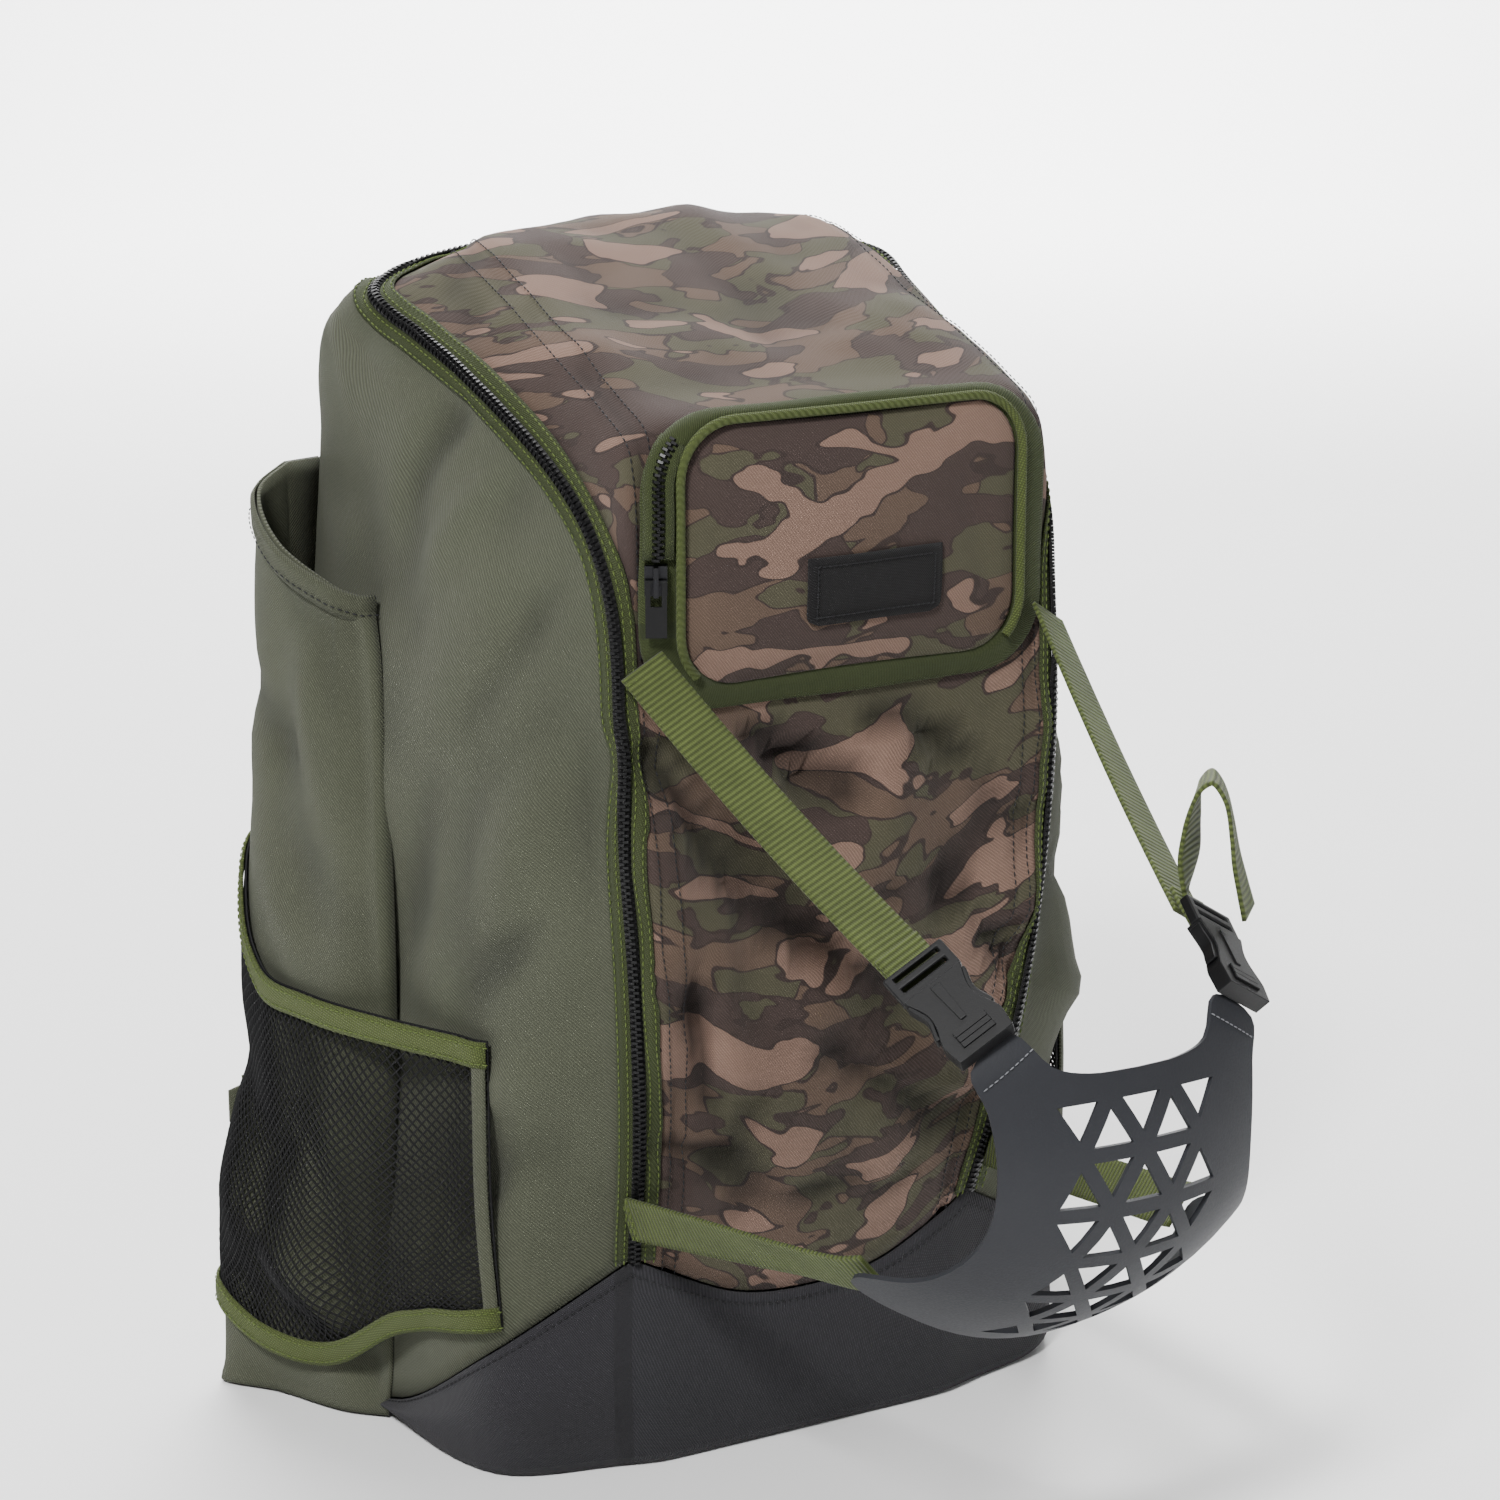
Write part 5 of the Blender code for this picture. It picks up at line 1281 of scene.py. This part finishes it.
def sewn_end(end, along, facing):
    """Two rows of stitches across a strap where it is sewn down."""
    side = unit(np.cross(along, facing))
    for step in (0.0028, 0.0058):
        spots = end + along * step + facing * (STRAP_THICK / 2 + 0.0002)
        spots = spots + np.outer(np.linspace(-0.42, 0.42, 9) * STRAP_WIDTH, side)
        OLIVE_THREAD.line(spots, np.tile(facing, (9, 1)))


def dress_carrier_straps():
    """The upper straps with their buckles, the lower straps and the free tail."""
    bowl = np.array([0.0, FRONT_Y - 0.60 * CARRIER_OUT, 0.75 * CARRIER_TOP])
    arm = carrier_point(*UPPER_ARM, 0)
    anchor = on_front(*UPPER_ANCHOR, 0.0055)
    way = unit(arm - anchor)
    socket = arm - way * BUCKLE_LENGTH
    ends = np.linspace(anchor, socket, 7)
    ends = ends - np.outer(np.sin(np.linspace(0, np.pi, 7)), (0, 0, 0.003))
    facing = unit(ends - bowl)
    middle = (socket + arm) / 2
    middle = middle + unit(middle - bowl) * 0.006
    low_anchor = on_front(*LOWER_ANCHOR, 0.0012)
    low_end = carrier_point(*LOWER_ARM, 0)
    arm_facing = unit(carrier_point(*LOWER_ARM, 1) - low_end)
    low_end = low_end - arm_facing * (CARRIER_THICK / 2 + STRAP_THICK / 2 + 3 * SEAT)
    flush = low_anchor - low_end
    flush = low_end + unit(flush - arm_facing * (flush @ arm_facing)) * STRAP_WIDTH * 0.7
    low = np.concatenate([[low_end], np.linspace(flush, low_anchor, 5)])
    low_facing = np.array([arm_facing, arm_facing, *np.linspace(arm_facing, LOW_FACING, 4)])
    low, low_facing = low[::-1], unit(low_facing[::-1])
    for side, flip in SIDES:
        web_piece(f"upper_web_{side}", ends * flip, facing * flip, STRAP_WIDTH, STRAP_THICK,
                  f"upper_strap_{side}")
        sewn_end(anchor * flip, way * flip, facing[0] * flip)
        through = np.array([socket + way * ahead + facing[-1] * lift for ahead, lift in FOLD_BACK])
        web_piece(f"strap_fold_{side}", through * flip, np.tile(facing[-1], (5, 1)) * flip,
                  STRAP_WIDTH * 0.98, STRAP_THICK, fine=24)
        dress_buckle(side, middle * flip, -way * flip, facing[-1] * flip)
        sewn_end(low[0] * flip, unit(low[1] - low[0]) * flip, low_facing[0] * flip)
        web_piece(f"lower_web_{side}", low * flip, low_facing * flip, STRAP_WIDTH, STRAP_THICK,
                  f"lower_strap_{side}")
    off = socket + facing[-1] * (STRAP_THICK + SIDE_SEAT) - way * 0.010
    out = unit(facing[-1] * (1, 1, 0))
    loop = spline(np.array(TAIL_LOOP)[:, :2], 13)
    twist = spline(np.array(TAIL_LOOP)[:, 2:], 13)
    tail = off + loop[:, :1] * out + loop[:, 1:] * np.array((0, 0, 1))
    tail_facing = np.cross(np.cross((0, 0, 1), out) + twist * out, np.gradient(tail, axis=0))
    loose = web_piece("tail_web", tail, tail_facing, STRAP_WIDTH, STRAP_THICK, "strap_tail")


def padded_grid(middle, facing, width, thick, sides=24):
    """A closed cushion round a path, with soft full edges and rounded ends."""
    along = unit(np.gradient(middle, axis=0))
    side = unit(np.cross(along, facing))
    ahead = unit(np.cross(side, along))
    turns = np.linspace(0, math.tau, sides + 1)[:-1]
    spot = np.linspace(0, 1, len(middle))
    ends = np.minimum(1, np.sqrt(np.clip(np.minimum(spot, 1 - spot) / 0.03, 0.02, 1)))
    grid = []
    for t in turns:
        c, s = math.cos(t), math.sin(t)
        x = math.copysign(abs(c) ** 0.55, c) * width / 2
        y = math.copysign(abs(s) ** 0.8, s) * thick / 2
        grid.append(middle + (side * x + ahead * y) * ends[:, None])
    return np.stack(grid, axis=1)


def dress_pad():
    """The quilted back pad, with piping round it."""
    u, v = np.meshgrid(np.linspace(-1, 1, 49), np.linspace(-1, 1, 73))
    half = PAD_HEIGHT / 2
    z = PAD_FOOT + half + v * half
    over = np.maximum(np.abs(z - PAD_FOOT - half) - (half - PAD_CORNER), 0)
    limit = PAD_WIDTH / 2 - PAD_CORNER + np.sqrt(np.maximum(PAD_CORNER ** 2 - over ** 2, 0))
    puff = 1 - (1 - np.minimum(1, np.minimum(1 - np.abs(u), 1 - np.abs(v)) / 0.14)) ** 2
    quilt = 1 - 0.55 * sum(np.exp(-(((z - 0.245) / 0.14 - line) / 0.055) ** 2)
                           for line in (-0.675, 0.0, 0.675))
    y = BACK_Y + SEAT + 0.001 + (PAD_THICK - 0.001) * puff * (0.25 + 0.75 * quilt)
    grid = np.stack([u * limit, y, z], -1)[:, ::-1]
    pad = cloth("pad_cushion", grid, 0.002, SPACER, "black_mesh", "back_pad")
    rim = np.concatenate([grid[0], grid[1:, -1], grid[-1, ::-1][1:], grid[::-1, 0][1:-1]])
    cord("pad_piping", rim + (0, 0.0012, 0), 0.0018, closed=True)


def dress_shoulders():
    """The padded shoulder straps, their webbing and the tabs that it is sewn to."""
    clear = BACK_Y + SEAT + PAD_THICK
    thick = SHOULDER_THICK
    path = ((0.052, BACK_Y + thick / 2 + SEAT, 0.446), (0.056, clear + 0.006 + thick, 0.430),
            (0.064, clear + 0.022, 0.390), (0.078, clear + 0.030, 0.300),
            (0.098, clear + 0.024, 0.220), (0.120, clear + 0.008, 0.165))
    fine = spline(path, 90)
    before, end = spline(path, 13)[-2:]
    down = unit(end - before) * 1.2
    tab_y = BACK_Y + SEAT + STRAP_THICK / 2
    sewn_y = tab_y + STRAP_THICK + SEAT
    web = spline((end + down * SIDE_SEAT, end + down * STRAP_WIDTH / 2,
                  (0.142, BACK_Y + 0.014, 0.140), (0.168, sewn_y, 0.122), (0.178, sewn_y, 0.120)), 7)
    across = unit(np.cross(unit(np.gradient(fine, axis=0)), OUT_BACK))
    t, s = np.meshgrid(np.linspace(0, 1, 12), np.linspace(0, 1, 12), indexing="ij")
    tab = np.stack([HALF - 0.017 + 1.2 * TAB_SIDE * t, tab_y + 0 * t,
                    0.120 + TAB_SIDE * (1 - t / 1.5) * (s - 0.5)], -1)
    for side, flip in SIDES:
        loops = padded_grid(fine * flip, np.tile(OUT_BACK, (90, 1)), SHOULDER_WIDTH, thick)
        name = f"shoulder_cushion_{side}"
        mesh = cloth_mesh(name, np.concatenate([loops, loops[:, :1]], axis=1))
        work = bmesh.new()
        work.from_mesh(mesh)
        bmesh.ops.remove_doubles(work, verts=work.verts, dist=1e-6)
        bmesh.ops.holes_fill(work, edges=work.edges, sides=0)
        work.to_mesh(mesh)
        work.free()
        strap = piece(name, facing_out(mesh), SPACER, "black_mesh", f"shoulder_strap_{side}")
        for edge, letter in ((-1, "b"), (1, "a")):
            spots = (fine + across * (SHOULDER_WIDTH / 2 - 0.001) * edge) * flip
            cord(f"shoulder_piping{letter}_{side}", spots[2:-2], 0.0018)
        web_piece(f"shoulder_web_{side}", (fine[8:70] + OUT_BACK * (thick / 2 + 0.0009)) * flip,
                  np.tile(OUT_BACK, (62, 1)), WEBBING_WIDTH, 0.0014, fine=90)
        web_piece(f"tail_webbing_{side}", web * flip, np.tile(OUT_BACK, (7, 1)), WEBBING_WIDTH,
                  STRAP_THICK, f"lower_webbing_{side}")
        placed = tab * flip
        cloth(f"tab_{side}", placed.swapaxes(0, 1) if flip[0] > 0 else placed, STRAP_THICK,
              TWILL_GREEN, "olive_webbing", f"anchor_tab_{side}", outside=True)


def dress_haul_loop():
    """The loop at the top of the back."""
    low, knee, top = (0.040, BACK_Y + 0.002, 0.458), (0.034, BACK_Y + 0.014, 0.480), BACK_Y + 0.022
    loop = spline((mirrored(low), mirrored(knee), (0.0, top, 0.488), knee, low), 11)
    web_piece("haul_web", loop, np.tile(OUT_BACK, (11, 1)), WEBBING_WIDTH / 2, 0.003, "haul_loop")


def set_stage():
    """A floor that sweeps up into a backdrop behind the bag, the lights and the camera."""
    ahead, aside = np.array((0.485, 0.874, 0.0)), np.array((0.874, -0.485, 0.0))
    profile = [(-5.0, 0.0), (4.0, 0.0)]
    profile += [(4.0 + 1.5 * math.sin(t), 1.5 - 1.5 * math.cos(t))
                for t in np.linspace(0, math.pi / 2, 13)[1:]]
    profile.append((5.5, 6.0))
    verts = [ahead * far + aside * wide + (0, 0, up) for far, up in profile for wide in (-8.0, 8.0)]
    mesh = mesh_of("floor", verts, [(k, k + 1, k + 3, k + 2) for k in range(0, len(verts) - 2, 2)])
    mesh.shade_smooth()
    graph = Graph("studio_floor", 0.75)
    white = graph.mix(graph.noise(1.5, 2), linear((246, 246, 246)), linear((250, 250, 250)))
    graph.tree.links.new(white, graph.shader["Base Color"])
    mesh.materials.append(graph.material)
    linked("floor", mesh)
    world = bpy.context.scene.world = bpy.data.worlds.new("studio")
    world.use_nodes = True
    sky = world.node_tree.nodes["Background"].inputs
    sky["Color"].default_value = (1.0, 1.0, 1.0, 1.0)
    sky["Strength"].default_value = 0.22
    for name, place, aim, size, power in (
        ("key", (-1.7, -1.5, 2.4), (0, -0.1, 0.25), 0.5, 125),
        ("fill", (1.9, -1.6, 1.2), (0, -0.1, 0.25), 1.6, 5),
        ("top", (0.3, 0.5, 2.4), (0, 0, 0.3), 1.0, 18),
        ("sweep_near", (0.9, 2.4, 3.2), (1.1, 2.8, 0.0), 2.4, 300),
        ("sweep_far", (2.0, 3.0, 2.6), (2.9, 5.0, 1.2), 2.0, 330),
    ):
        light = bpy.data.lights.new(name, "AREA")
        light.energy = power
        light.size = size
        lamp = linked(name, light)
        lamp.location = place
        lamp.rotation_euler = (Vector(aim) - Vector(place)).to_track_quat("-Z", "Y").to_euler()
    lens = bpy.data.cameras.new("camera")
    lens.lens = 91.2
    lens.sensor_width = 36
    camera = bpy.context.scene.camera = linked("camera", lens)
    ahead = Vector((0.4672, 0.8428, -0.2672)).normalized()
    right = Vector((0.8746, -0.4848, 0.0)).normalized()
    turn = Matrix((right, right.cross(ahead), -ahead)).transposed().to_4x4()
    camera.matrix_world = Matrix.Translation((-0.76014, -1.42131, 0.73147)) @ turn


set_stage()
DARK, OLIVE_THREAD, PALE = Threads(), Threads(), Threads()
FRONT, BODY = body_grids()
BASE = base_grid(FRONT, BODY)
SKIN = tree_of(FRONT, BODY, np.concatenate([BASE, BASE[:, :1]], axis=1))
BEND_TABLE = spline(np.array(CARRIER_BEND), 61)
PANEL, SHELL = dress_shells()
dress_base()
dress_main_zip(PANEL, SHELL)
dress_pocket()
dress_mesh_pockets(dress_sleeves())
dress_carrier()
dress_carrier_straps()
dress_pad()
dress_shoulders()
dress_haul_loop()
DARK.make("stitches_dark", THREAD_DARK, "base_fabric")
OLIVE_THREAD.make("stitches_olive", THREAD_OLIVE, "olive_webbing")
PALE.make("stitches_pale", THREAD_PALE, "carrier_sheet")
for node, finish in (("zip_slider", METAL), ("zip_puller", PLASTIC)):
    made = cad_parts[node]
    for slot in made.material_slots:
        slot.material = finish
